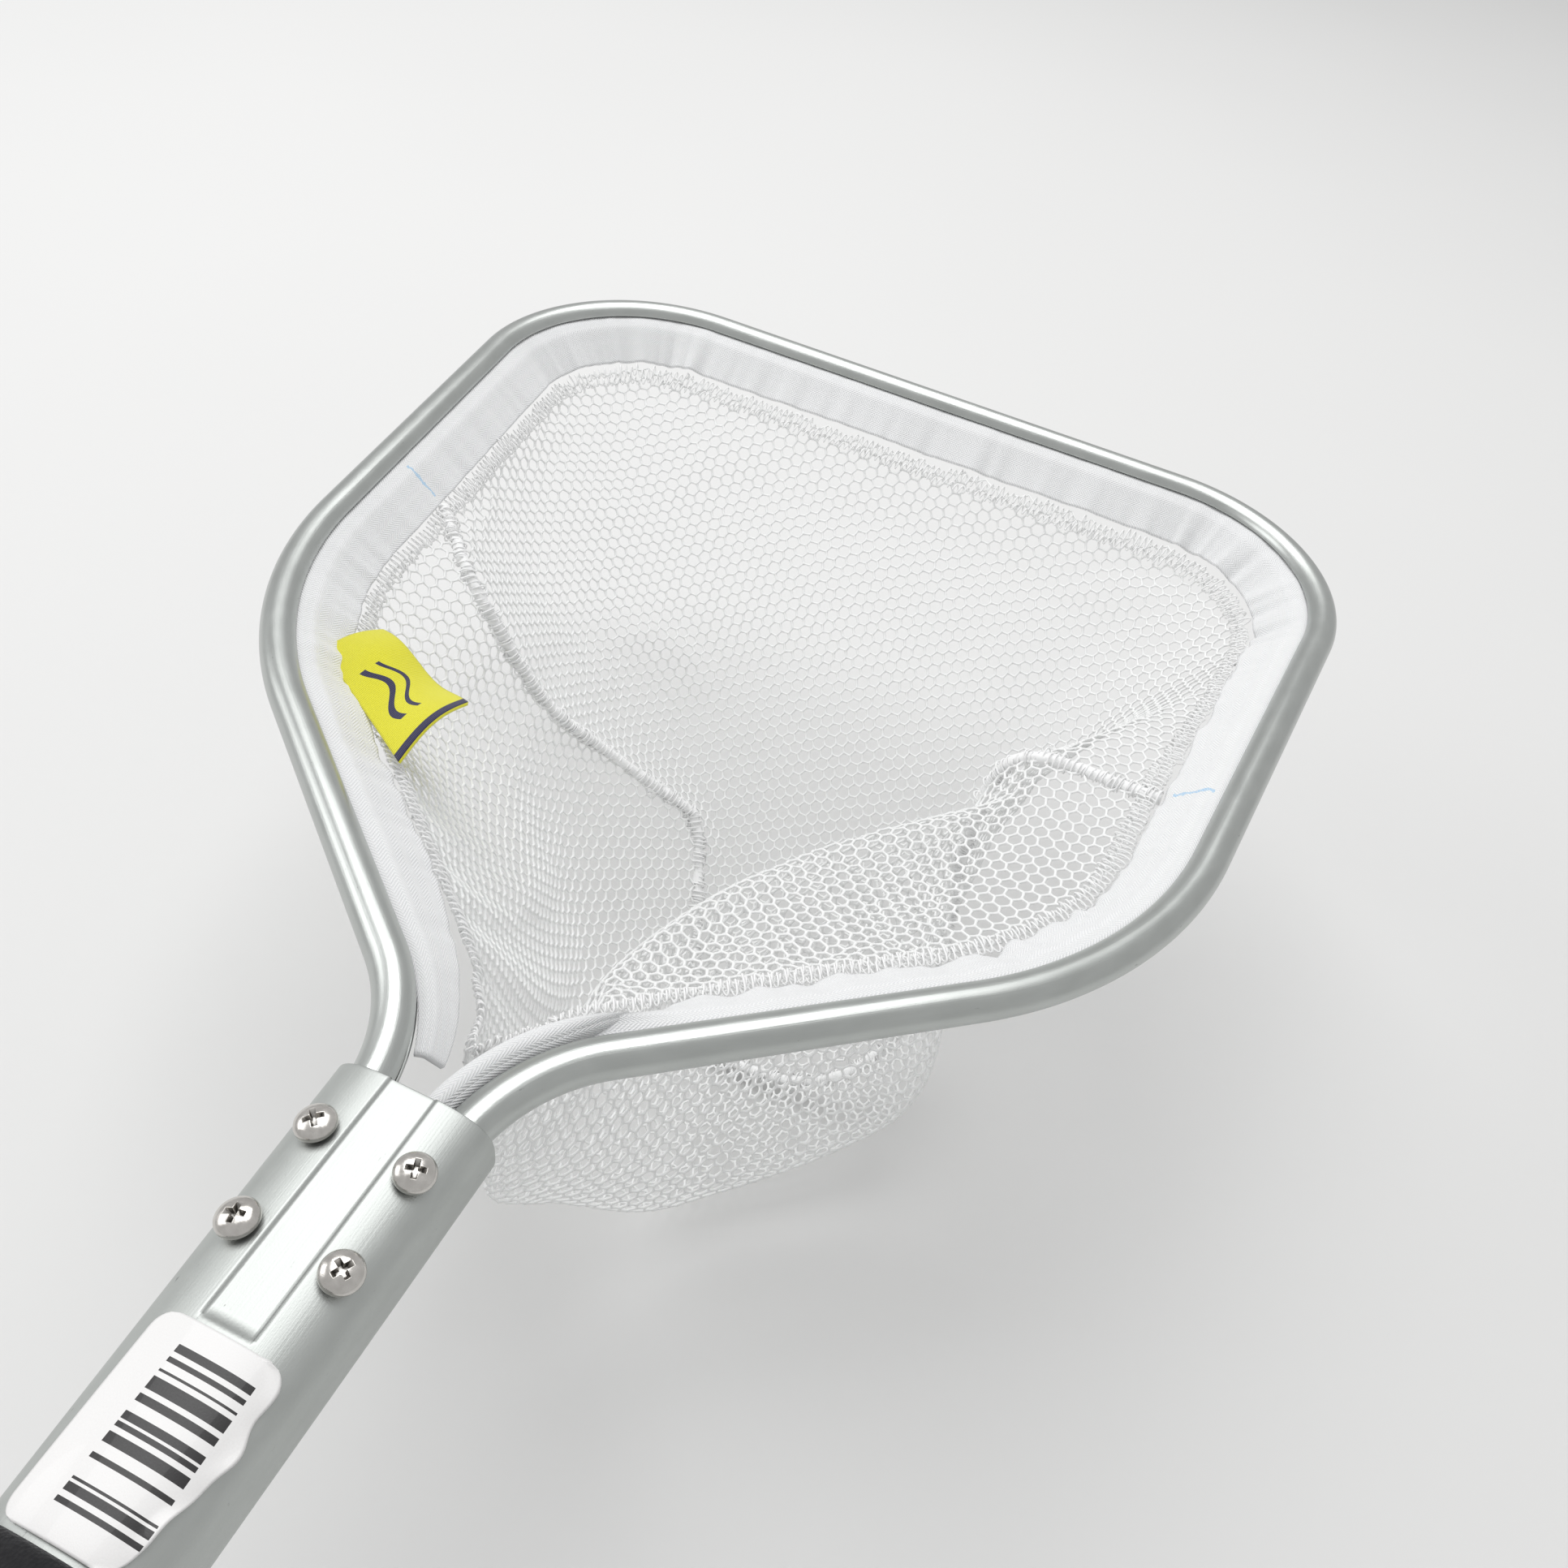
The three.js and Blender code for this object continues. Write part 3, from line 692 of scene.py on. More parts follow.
def sticker_paper():
    m = Recipe("sticker_paper_printed")
    m.shader.inputs["Coat Weight"].default_value = 0.25
    place = m.coords("UV")
    apart = m.add("SeparateXYZ", Vector=place)
    across, along = apart.outputs[0], apart.outputs[1]
    row = m.math("FLOOR", m.math("MULTIPLY", along, 1 / 0.36))
    chance = m.add("TexWhiteNoise", {"noise_dimensions": "1D"}, W=row)
    inked = m.math("GREATER_THAN", chance.outputs["Value"], 0.47)
    for low, high, axis in ((-4.2, 9.0, across), (48.9, 71.2, along)):
        inked = m.math("MULTIPLY", inked, m.math("GREATER_THAN", axis, low))
        inked = m.math("MULTIPLY", inked, m.math("LESS_THAN", axis, high))
    fibre = m.add("TexNoise", Vector=place, Scale=4.0, Detail=4.0)
    paper = m.mix(fibre.outputs[0], (0.80, 0.79, 0.785, 1), (0.88, 0.875, 0.87, 1))
    m.colour(m.mix(inked, paper, (0.018, 0.017, 0.018, 1)))
    m.rough(m.ramp(fibre.outputs[0], (0.3, grey(0.38)), (0.7, grey(0.5))))
    m.bump(fibre.outputs[0], 0.00005, 0.4)
    return m.material


label.data.materials.append(sticker_paper())
finish_piece(label, "handle_label")

# %% [markdown]
# ## Cloth finishes
# All the fabric is white, but each has its own structure. The tape is herringbone twill: slanted ribs
# that change direction every few millimetres, so the rib's phase is the length plus a zigzag of the
# width. The threads have a fine twist.

# %% White tape and white thread
def triangle_wave(m, value, period):
    return m.math("PINGPONG", value, period / 2)


def white_twill(marks=()):
    m = Recipe("white_tape_twill")
    m.shader.inputs["Sheen Weight"].default_value = 0.25
    m.shader.inputs["Specular IOR Level"].default_value = 0.3
    m.shader.inputs["Subsurface Weight"].default_value = 0.1
    m.shader.inputs["Subsurface Radius"].default_value = (0.002, 0.002, 0.002)
    place = m.coords("UV")
    apart = m.add("SeparateXYZ", Vector=place)
    along, across = apart.outputs[0], apart.outputs[1]
    zigzag = triangle_wave(m, across, 4.2)
    phase = m.math("ADD", m.math("MULTIPLY", along, 1.0), zigzag)
    rib = m.math("SINE", m.math("MULTIPLY", phase, 2 * math.pi / 0.85))
    weft = m.math("SINE", m.math("MULTIPLY", across, 2 * math.pi / 0.42))
    fuzz = m.add("TexNoise", Vector=place, Scale=5.0, Detail=4.0)
    soil = m.add("TexNoise", Vector=place, Scale=0.09, Detail=3.0)
    height = m.math("ADD", m.math("MULTIPLY", rib, 0.5), m.math("MULTIPLY", weft, 0.2))
    height = m.math("ADD", height, m.math("MULTIPLY", fuzz.outputs[0], 0.5))
    tone = m.mix(soil.outputs[0], (0.89, 0.895, 0.90, 1), (0.94, 0.94, 0.945, 1))
    # painted shade: the white is darker in the grooves between the twill ribs, where the height is low
    tone = m.mix(m.ramp(height, (0.0, grey(1.0)), (0.45, grey(0.0))), tone, (0.80, 0.81, 0.82, 1))
    for mark_along, mark_from, mark_to in marks:
        wobble = m.add("TexNoise", Vector=place, Scale=0.5, Detail=3.0)
        line = m.math("SUBTRACT", along, mark_along)
        line = m.math("ADD", line, m.math("MULTIPLY", wobble.outputs[0], 2.2))
        line = m.math("LESS_THAN", m.math("ABSOLUTE", m.math("SUBTRACT", line, 1.1)), 0.42)
        line = m.math("MULTIPLY", line, m.math("GREATER_THAN", across, mark_from))
        line = m.math("MULTIPLY", line, m.math("LESS_THAN", across, mark_to))
        line = m.math("MULTIPLY", line, m.math("GREATER_THAN", fuzz.outputs[0], 0.42))
        tone = m.mix(m.math("MULTIPLY", line, 0.75), tone, (0.33, 0.60, 0.86, 1))
    m.colour(tone)
    m.rough(m.ramp(fuzz.outputs[0], (0.3, grey(0.7)), (0.7, grey(0.9))))
    m.bump(height, 0.00016, 0.7)
    return m.material


def white_thread(name, tone_low, tone_high):
    m = Recipe(name)
    m.shader.inputs["Sheen Weight"].default_value = 0.2
    m.shader.inputs["Specular IOR Level"].default_value = 0.35
    m.shader.inputs["Subsurface Weight"].default_value = 0.15
    m.shader.inputs["Subsurface Radius"].default_value = (0.0015, 0.0015, 0.0015)
    place = m.coords("Object")
    fuzz = m.add("TexNoise", Vector=place, Scale=2600.0, Detail=3.0)
    cloud = m.add("TexNoise", Vector=place, Scale=30.0, Detail=3.0)
    m.colour(m.mix(cloud.outputs[0], tone_low, tone_high))
    m.rough(m.ramp(fuzz.outputs[0], (0.3, grey(0.5)), (0.7, grey(0.75))))
    m.bump(fuzz.outputs[0], 0.00008, 0.6)
    return m.material


mesh_white = white_thread("white_mesh_strand", (0.90, 0.91, 0.905, 1), (0.95, 0.955, 0.95, 1))
thread_white = white_thread("white_seam_thread", (0.90, 0.905, 0.905, 1), (0.95, 0.95, 0.95, 1))

# %% [markdown]
# ## The cord in the hem
# A cord inside the hoop's bore keeps the tape from slipping out of the slot. Only slivers of it could
# be seen through the slot, so it is a plain sweep with a slight twist in its section.

# %% Hem cord
CORD_R = 1.7 * MM
CORD_END = 17 * MM
cord_s = np.linspace(CORD_END, HOOP_LENGTH - CORD_END, 500)
turns = np.linspace(0, 2 * math.pi, 18, endpoint=False)
lay = cord_s[:, None] / (7 * MM) * 2 * math.pi
radius = CORD_R * (0.93 + 0.07 * np.cos(3 * (turns[None, :] - lay)))
cord_section = np.stack([radius * np.cos(turns), radius * np.sin(turns)], -1)
cord_uv = np.stack(np.broadcast_arrays(cord_s[:, None] / MM, turns[None, :] * CORD_R / MM), -1)
hem_cord = grid_piece("hem_cord_twisted", sweep(cord_s, cord_section), wrap_columns=True, uv=cord_uv)
cap_ends(hem_cord)
hem_cord.data.materials.append(thread_white)
finish_piece(hem_cord, "hem_cord")

# %% [markdown]
# ## The bag's shape
# The bag is two flat panels of mesh, one towards the handle and one towards the far side. They meet in
# a seam that drops from the hoop on the right, crosses the bottom and climbs to the hoop on the left.
# The bag is slack, so the near panel first lies inwards like a shelf, folds over, and then hangs down.
#
# A loft gives that shape best: at stations round the rim, a profile of a few points goes down the cloth
# to the seam. Smooth curves through the stations and along the profiles fill in the surface. A short
# cloth simulation then lets it sag and wrinkle.

# %% A smooth curve through values at uneven knots
def smooth_curve(knots, values, query):
    knots, values = np.asarray(knots, float), np.asarray(values, float)
    gaps = np.diff(knots)
    slopes = np.diff(values, axis=0) / gaps.reshape(-1, *([1] * (values.ndim - 1)))
    tangents = np.empty_like(values)
    tangents[0], tangents[-1] = slopes[0], slopes[-1]
    weight = (gaps[1:] / (gaps[1:] + gaps[:-1])).reshape(-1, *([1] * (values.ndim - 1)))
    tangents[1:-1] = weight * slopes[:-1] + (1 - weight) * slopes[1:]
    k = np.clip(np.searchsorted(knots, query, side="right") - 1, 0, len(gaps) - 1)
    h = gaps[k]
    t = (np.asarray(query) - knots[k]) / h
    shape = (-1, *([1] * (values.ndim - 1)))
    t, h = t.reshape(shape), h.reshape(shape)
    return ((2 * t ** 3 - 3 * t ** 2 + 1) * values[k] + (t ** 3 - 2 * t ** 2 + t) * h * tangents[k]
            + (3 * t ** 2 - 2 * t ** 3) * values[k + 1] + (t ** 3 - t ** 2) * h * tangents[k + 1])


# %% Stations: where each profile leaves the rim, and the points that it passes, in millimetres
RIM_IN, RIM_DOWN = 15.7 * MM, 9.2 * MM
RIGHT_SEAM = [(95, 154), (64, 156, -17), (60, 150, -46), (64, 138, -80), (60, 125, -105)]
LEFT_SEAM = [(-101, 157), (-77, 140, -19), (-60, 142, -46), (-43, 154, -70), (-20, 162, -88)]
NEAR_PANEL = [
    RIGHT_SEAM,
    [(96, 114), (73, 127, -13), (52, 133, -26), (73, 109, -88), (52, 116, -112)],
    [(68, 82), (50, 95, -13), (31, 109, -27), (56, 87, -104), (36, 110, -118)],
    [(45, 67), (31, 77, -13), (17, 88, -28), (34, 67, -111), (22, 109, -119)],
    [(22, 44), (14, 50, -14), (6, 56, -30), (18, 53, -109), (12, 112, -119)],
    [(12, 26), (6, 30, -14), (2, 34, -34), (7, 46, -100), (7, 118, -117)],
    [(0, 10), (-2, 18, -14), (-2, 24, -36), (-3, 38, -88), (3, 124, -114)],
    [(-12, 26), (-8, 31, -18), (-6, 38, -40), (-2, 54, -82), (-1, 130, -111)],
    [(-22, 44), (-17, 48, -26), (-12, 54, -52), (-8, 68, -88), (-5, 138, -107)],
    [(-46, 69), (-37, 74, -30), (-27, 83, -58), (-17, 98, -92), (-10, 148, -101)],
    [(-88, 96), (-72, 104, -26), (-54, 112, -50), (-36, 128, -80), (-15, 157, -94)],
    LEFT_SEAM,
]
FAR_PANEL = [
    RIGHT_SEAM,
    [(104, 200), (84, 186, -18), (67, 168, -32), (62, 150, -78), (54, 121, -109)],
    [(104, 240), (87, 218, -32), (72, 192, -58), (56, 158, -90), (44, 113, -116)],
    [(50, 252), (44, 224, -34), (36, 192, -62), (29, 156, -94), (28, 109, -119)],
    [(0, 252), (1, 224, -34), (5, 192, -62), (8, 156, -94), (12, 112, -119)],
    [(-50, 252), (-43, 226, -34), (-31, 198, -62), (-16, 170, -88), (0, 134, -110)],
    [(-98, 243), (-80, 222, -32), (-58, 200, -56), (-36, 182, -78), (-10, 150, -100)],
    [(-108, 198), (-86, 182, -27), (-64, 172, -50), (-43, 168, -73), (-16, 157, -94)],
    LEFT_SEAM,
]
PROFILE_AT = [0, 0.27, 0.5, 0.78, 1]


def nearest_on_rim(x, y):
    s = np.linspace(0, HOOP_LENGTH, 4000)
    centre, inward = hoop_at(s)
    rim = centre + RIM_IN * inward
    return s[np.argmin(np.hypot(rim[:, 0] - x * MM, rim[:, 1] - MOUTH_Y - y * MM))]


def rim_points(s):
    centre, inward = hoop_at(s)
    return centre + RIM_IN * inward - np.array([0, 0, RIM_DOWN])


def bag_points(station_points):
    return np.array([[(x * MM, MOUTH_Y + y * MM, HOOP_Z + h * MM) for x, y, h in row[1:]]
                     for row in station_points])


def panel_grid(stations, count_round, count_down, through_neck):
    """Grid[i, j]: i goes round from the right seam to the left seam, and j goes down from the rim."""
    at = np.array([nearest_on_rim(*row[0]) for row in stations])
    neck = NECK_S
    if through_neck:
        knots = at[0] - at
        middle = len(at) // 2
        knots[middle] = at[0] - neck + NECK_GAP / 2
        knots[middle + 1:] = at[0] - 2 * neck + NECK_GAP + HOOP_LENGTH - at[middle + 1:]
    else:
        knots = at - at[0]
    u = np.linspace(0, knots[-1], count_round)
    body = smooth_curve(knots, bag_points(stations), u)
    if through_neck:
        right_end, left_start = at[0] - neck, at[0] - neck + NECK_GAP
        s = np.where(u < right_end, at[0] - u, HOOP_LENGTH - neck - (u - left_start))
        rim = rim_points(s)
        inside = (u >= right_end) & (u <= left_start)
        a, b = rim_points([neck])[0], rim_points([HOOP_LENGTH - neck])[0]
        share = ((u[inside] - right_end) / NECK_GAP)[:, None]
        dip = np.array([0, -8 * MM, 3 * MM]) * (4 * share * (1 - share))
        rim[inside] = a + (b - a) * share + dip
    else:
        rim = rim_points(at[0] + u)
    profile = np.concatenate([rim[:, None], body], 1)
    down = np.linspace(0, 1, count_down)
    return smooth_curve(PROFILE_AT, profile.transpose(1, 0, 2), down).transpose(1, 0, 2)


NECK_S = 54.6 * MM
NECK_GAP = 12 * MM
near_grid = panel_grid(NEAR_PANEL, 260, 64, True)
far_grid = panel_grid(FAR_PANEL, 240, 60, False)
print("near panel grid", near_grid.shape, "far panel grid", far_grid.shape)

# %% [markdown]
# ### Letting the cloth settle
# Each loft is smoother than real mesh. So a copy of it goes through a short cloth simulation, with its
# rim and its seam pinned, under a little gravity and with slightly more cloth than fits, so that small
# hollows and wrinkles form. A point may move by only a few millimetres, which keeps the folds where
# they were placed.

# %% Cloth simulation on a panel
MAX_SETTLE = 5 * MM


def settled(grid, name):
    rows, columns = grid.shape[:2]
    coarse = grid[::2, ::2]
    piece = grid_piece(name + "_cloth", coarse)
    pins = piece.vertex_groups.new(name="pins")
    index = np.arange(coarse.shape[0] * coarse.shape[1]).reshape(coarse.shape[:2])
    held = np.concatenate([index[:, :2].ravel(), index[:, -1], index[0], index[-1]])
    pins.add([int(v) for v in np.unique(held)], 1.0, "REPLACE")
    cloth = piece.modifiers.new("cloth", "CLOTH")
    cloth.settings.quality = 6
    cloth.settings.mass = 0.08
    cloth.settings.tension_stiffness = cloth.settings.compression_stiffness = 12
    cloth.settings.shear_stiffness = 6
    cloth.settings.bending_stiffness = 0.02
    cloth.settings.shrink_min = -0.012
    cloth.settings.vertex_group_mass = "pins"
    cloth.settings.effector_weights.gravity = 0.08
    cloth.collision_settings.use_collision = False
    frames = 14
    cloth.point_cache.frame_end = frames
    scene = bpy.context.scene
    for number in range(1, frames + 1):
        scene.frame_set(number)
    shaped = piece.evaluated_get(bpy.context.evaluated_depsgraph_get()).data
    points = np.zeros(len(shaped.vertices) * 3)
    shaped.vertices.foreach_get("co", points)
    moved = points.reshape(coarse.shape) - coarse
    far = np.linalg.norm(moved, axis=-1, keepdims=True)
    moved *= np.minimum(1, MAX_SETTLE / np.maximum(far, 1e-9))
    bpy.data.objects.remove(piece)
    scene.frame_set(1)
    rows_at = np.arange(0, rows, 2)
    columns_at = np.arange(0, columns, 2)
    finer = np.stack([[np.interp(np.arange(columns), columns_at, row[:, k]) for row in moved]
                      for k in range(3)], -1)
    full = np.stack([[np.interp(np.arange(rows), rows_at, finer[:, j, k]) for j in range(columns)]
                     for k in range(3)], -1).transpose(1, 0, 2)
    kept = np.linalg.norm(moved, axis=-1)
    print(f"{name}: the cloth moved {kept.mean() / MM:.2f} mm on average, {kept.max() / MM:.1f} mm at most")
    return grid + full


near_shape = settled(near_grid, "near_panel")
far_shape = settled(far_grid, "far_panel")

# %% [markdown]
# ### Strands on a surface
# The mesh is a knotless net with six-sided holes. Each panel is flattened first, by an unwrap with the
# least stretch, which is the reverse of how cloth is cut. Then a flat lattice of six-sided cells is
# laid on the flattened panel, and Geometry Nodes carry every corner of it to the shaped panel. Each
# edge becomes a thin strand, a little thicker at its ends, where strands join.
#
# The same kind of tree also turns any drawn lines into thread, so it serves the seams and stitches too.

# %% A helper that builds a Geometry Nodes tree
class GeometryTree:
    def __init__(self, name, **inputs):
        self.tree = bpy.data.node_groups.new(name, "GeometryNodeTree")
        self.ids = {}
        for label, kind in {"Geometry": "NodeSocketGeometry", **inputs}.items():
            socket = self.tree.interface.new_socket(label, in_out="INPUT", socket_type=kind)
            self.ids[label] = socket.identifier
        self.tree.interface.new_socket("Geometry", in_out="OUTPUT", socket_type="NodeSocketGeometry")
        self.start = self.tree.nodes.new("NodeGroupInput")
        self.end = self.tree.nodes.new("NodeGroupOutput")

    def input(self, label):
        return self.start.outputs[label]

    def add(self, kind, settings=None, **inputs):
        node = self.tree.nodes.new(kind)
        for key, value in (settings or {}).items():
            setattr(node, key, value)
        for key, value in inputs.items():
            socket = socket_key(key)
            if isinstance(value, bpy.types.Node):
                value = value.outputs[0]
            if isinstance(value, bpy.types.NodeSocket):
                self.tree.links.new(value, node.inputs[socket])
            else:
                node.inputs[socket].default_value = value
        return node

    def finish(self, geometry):
        real = self.add("GeometryNodeRealizeInstances", Geometry=geometry)
        painted = self.add("GeometryNodeSetMaterial", Geometry=real, Material=self.input("Finish"))
        self.tree.links.new(painted.outputs[0], self.end.inputs[0])
        return self


def run_tree(piece, tree, name, **values):
    """Put the tree on the piece, set its inputs by identifier, and return the plain mesh it makes."""
    modifier = piece.modifiers.new("tree", "NODES")
    modifier.node_group = tree.tree
    for label, value in values.items():
        modifier[tree.ids[label.replace("_", " ")]] = value
    return baked(piece, name)


def strand_tree(name, on_surface):
    inputs = {"Finish": "NodeSocketMaterial", "Radius": "NodeSocketFloat", "Sides": "NodeSocketInt",
              "Points": "NodeSocketInt", "Waist": "NodeSocketFloat"}
    if on_surface:
        inputs["Surface"] = "NodeSocketObject"
    t = GeometryTree(name, **inputs)
    lines = t.input("Geometry")
    if on_surface:
        cloth = t.add("GeometryNodeObjectInfo", Object=t.input("Surface"))
        uv = t.add("GeometryNodeInputNamedAttribute", {"data_type": "FLOAT_VECTOR"}, Name="UVMap")
        here = t.add("GeometryNodeInputPosition")
        sample = t.add("GeometryNodeSampleUVSurface", {"data_type": "FLOAT_VECTOR"},
                       Mesh=cloth.outputs["Geometry"], Value=here, Source_UV_Map=uv, Sample_UV=here)
        missed = t.add("FunctionNodeBooleanMath", {"operation": "NOT"}, i0=sample.outputs["Is Valid"])
        kept = t.add("GeometryNodeDeleteGeometry", {"domain": "POINT"}, Geometry=lines, Selection=missed)
        uv_again = t.add("GeometryNodeInputNamedAttribute", {"data_type": "FLOAT_VECTOR"}, Name="UVMap")
        place = t.add("GeometryNodeSampleUVSurface", {"data_type": "FLOAT_VECTOR"},
                      Mesh=cloth.outputs["Geometry"], Value=t.add("GeometryNodeInputPosition"),
                      Source_UV_Map=uv_again, Sample_UV=t.add("GeometryNodeInputPosition"))
        lines = t.add("GeometryNodeSetPosition", Geometry=kept, Position=place.outputs["Value"])
    curves = t.add("GeometryNodeMeshToCurve", Mesh=lines)
    curves = t.add("GeometryNodeResampleCurve", Curve=curves, Count=t.input("Points"))
    along = t.add("GeometryNodeSplineParameter").outputs["Factor"]
    middle = t.add("ShaderNodeMath", {"operation": "PINGPONG"}, i0=along, i1=0.5)
    thin = t.add("ShaderNodeMath", {"operation": "MULTIPLY"}, i0=middle, i1=t.input("Waist"))
    scale = t.add("ShaderNodeMath", {"operation": "SUBTRACT"}, i0=1.0, i1=thin)
    radius = t.add("ShaderNodeMath", {"operation": "MULTIPLY"}, i0=t.input("Radius"), i1=scale)
    profile = t.add("GeometryNodeCurvePrimitiveCircle", {"mode": "RADIUS"},
                    Resolution=t.input("Sides"), Radius=1.0)
    tube = t.add("GeometryNodeCurveToMesh", Curve=curves, Profile_Curve=profile, Scale=radius)
    tube = t.add("GeometryNodeSetShadeSmooth", Geometry=tube)
    return t.finish(tube)


net_tree = strand_tree("net_strands", True)
thread_tree = strand_tree("thread_on_lines", False)

# %% Flatten a panel and lay six-sided cells on it
PITCH = 3.6 * MM


def flattened(grid, name):
    """The shaped panel as an object, with a UV map that is its flat cut, in metres."""
    rows, columns = grid.shape[:2]
    i, j = (a.ravel() for a in np.meshgrid(np.arange(rows), np.arange(columns), indexing="ij"))
    piece = grid_piece(name, grid, uv=np.stack([i / rows, j / columns], 1))
    bpy.context.view_layer.objects.active = piece
    for other in bpy.context.selected_objects:
        other.select_set(False)
    piece.select_set(True)
    bpy.ops.object.mode_set(mode="EDIT")
    bpy.ops.mesh.select_all(action="SELECT")
    bpy.ops.uv.unwrap(method="MINIMUM_STRETCH", margin=0.0, fill_holes=False, iterations=15)
    bpy.ops.object.mode_set(mode="OBJECT")
    mesh = piece.data
    uv = np.zeros(len(mesh.loops) * 2)
    mesh.uv_layers["UVMap"].data.foreach_get("uv", uv)
    uv = uv.reshape(-1, 2)
    corner = np.zeros(len(mesh.loops), int)
    mesh.loops.foreach_get("vertex_index", corner)
    flat = np.zeros((rows * columns, 2))
    flat[corner] = uv
    flat = flat.reshape(rows, columns, 2)
    d1, d2 = flat[1:, 1:] - flat[:-1, :-1], flat[1:, :-1] - flat[:-1, 1:]
    cut_area = np.abs(d1[..., 0] * d2[..., 1] - d1[..., 1] * d2[..., 0]).sum() / 2
    area = sum(f.area for f in mesh.polygons)
    flat *= math.sqrt(area / cut_area)
    middle = flat[rows // 2, 0] - flat[rows // 2, columns // 2]
    turn = math.atan2(middle[0], middle[1])
    spin = np.array([[math.cos(turn), -math.sin(turn)], [math.sin(turn), math.cos(turn)]])
    flat = flat @ spin.T
    flat -= flat.reshape(-1, 2).min(0)
    mesh.uv_layers["UVMap"].data.foreach_set("uv", flat.reshape(-1, 2)[corner].ravel().astype(np.float32))
    size = flat.reshape(-1, 2).max(0)
    print(f"{name}: the cut is {size[0] / MM:.0f} by {size[1] / MM:.0f} mm, {area * 1e4:.0f} cm2 of cloth")
    return piece, size, area


def cell_lattice(size, name, wobble=0.05):
    """Corners and edges of six-sided cells. Two sides of each cell are level, like the knitted rows."""
    side = PITCH / math.sqrt(3)
    columns, rows = int(size[0] / (1.5 * side)) + 2, int(size[1] / PITCH) + 2
    rng = np.random.default_rng(11)
    corners, edges = {}, set()
    for c in range(columns):
        for r in range(rows):
            cx, cy = c * 1.5 * side, (r + 0.5 * (c % 2)) * PITCH
            ring = []
            for k in range(6):
                a = k * math.pi / 3
                key = (round((cx + side * math.cos(a)) / MM, 2), round((cy + side * math.sin(a)) / MM, 2))
                ring.append(corners.setdefault(key, len(corners)))
            edges.update(tuple(sorted((ring[k], ring[(k + 1) % 6]))) for k in range(6))
    points = np.array(list(corners)) * MM
    points += rng.normal(0, wobble * side, points.shape)
    mesh = bpy.data.meshes.new(name)
    mesh.from_pydata([(x, y, 0) for x, y in points], sorted(edges), [])
    lattice = bpy.data.objects.new(name, mesh)
    bpy.context.scene.collection.objects.link(lattice)
    return lattice


STRAND_R = 0.47 * MM
panels = ((near_shape, "net_near_panel", "net_front_panel"), (far_shape, "net_far_panel", "net_back_panel"))
for grid, name, node in panels:
    shaped, size, area = flattened(grid, name + "_cut")
    lattice = cell_lattice(size, name + "_lattice")
    net = run_tree(lattice, net_tree, name + "_mesh", Surface=shaped, Finish=mesh_white, Radius=STRAND_R,
                   Sides=4, Points=3, Waist=0.55)
    bpy.data.objects.remove(shaped)
    finish_piece(net, node)
    strand_area = sum(f.area for f in net.data.polygons)
    print(f"{name}: {len(net.data.polygons) * 2} triangles, {strand_area * 1e4:.0f} cm2 of strand")


# %% [markdown]
# ## The hem tape
# The tape leaves the slot, bends over and hangs inwards, where the mesh is sewn to it. It is a thin
# closed strip swept round the hoop. On the bends its inner edge is too long for its place, so it
# buckles, and the ripples grow towards that edge. At the right of the neck the tape rolls up.

# %% Tape section, ripples and the roll at the neck
TAPE_T = 1.0
TAPE_SHAPE = np.array([(1.2, 0.0), (4.6, 0.0), (7.2, -0.9), (9.6, -3.3), (12.2, -5.8), (15.0, -8.4)])
tape_from, tape_to = 34 * MM, HOOP_LENGTH - 44 * MM
tape_s = np.linspace(tape_from, tape_to, 900)
bend = np.abs(np.gradient(np.unwrap(np.arctan2(path_in_y, path_in_x)), path_s))
bend_here = np.interp(tape_s, path_s, np.convolve(bend, np.ones(41) / 41, mode="same"))


def ripple(s_mm, share, bent):
    """Height of the ripples, in millimetres, at a length along the hoop and a share of the width."""
    slow = np.array([noise.noise(Vector((s / 7.5, 0.3, 1.7))) for s in s_mm])
    quick = np.array([noise.noise(Vector((s / 3.2, 4.3, 0.7))) for s in s_mm])
    strength = 0.9 + 0.05 * bent
    wave = (slow * 1.6 + quick * 0.7) * strength
    return wave[:, None] * share[None, :] ** 1.3


def tape_sections():
    share = np.linspace(0, 1, 26)
    reach = np.concatenate([[0], np.cumsum(np.hypot(*np.diff(TAPE_SHAPE, axis=0).T))])
    base = np.stack([np.interp(share * reach[-1], reach, TAPE_SHAPE[:, k]) for k in range(2)], 1)
    sections = np.repeat(base[None], len(tape_s), 0)
    slope = np.gradient(base, axis=0)
    normal = np.stack([-slope[:, 1], slope[:, 0]], 1)
    normal /= np.linalg.norm(normal, axis=1, keepdims=True)
    rise = ripple(tape_s / MM, share, bend_here)
    sections = sections + rise[..., None] * normal
    near_neck = np.clip((88 * MM - tape_s) / (34 * MM), 0, 1)
    near_neck = near_neck ** 2 * (3 - 2 * near_neck)
    angle = 1.7 * math.pi * share + 1.2
    roll = np.stack([6.9 - 2.2 * np.cos(angle), -0.6 - 2.2 * np.sin(angle) * 1.1], 1)
    sections = sections * (1 - near_neck[:, None, None]) + roll * near_neck[:, None, None]
    left_end = np.clip((tape_s - (HOOP_LENGTH - 84 * MM)) / (40 * MM), 0, 1)[:, None, None]
    tucked = np.array([4.6, -1.0]) + (base - base[0]) * 0.35
    return sections * (1 - left_end) + tucked * left_end, normal


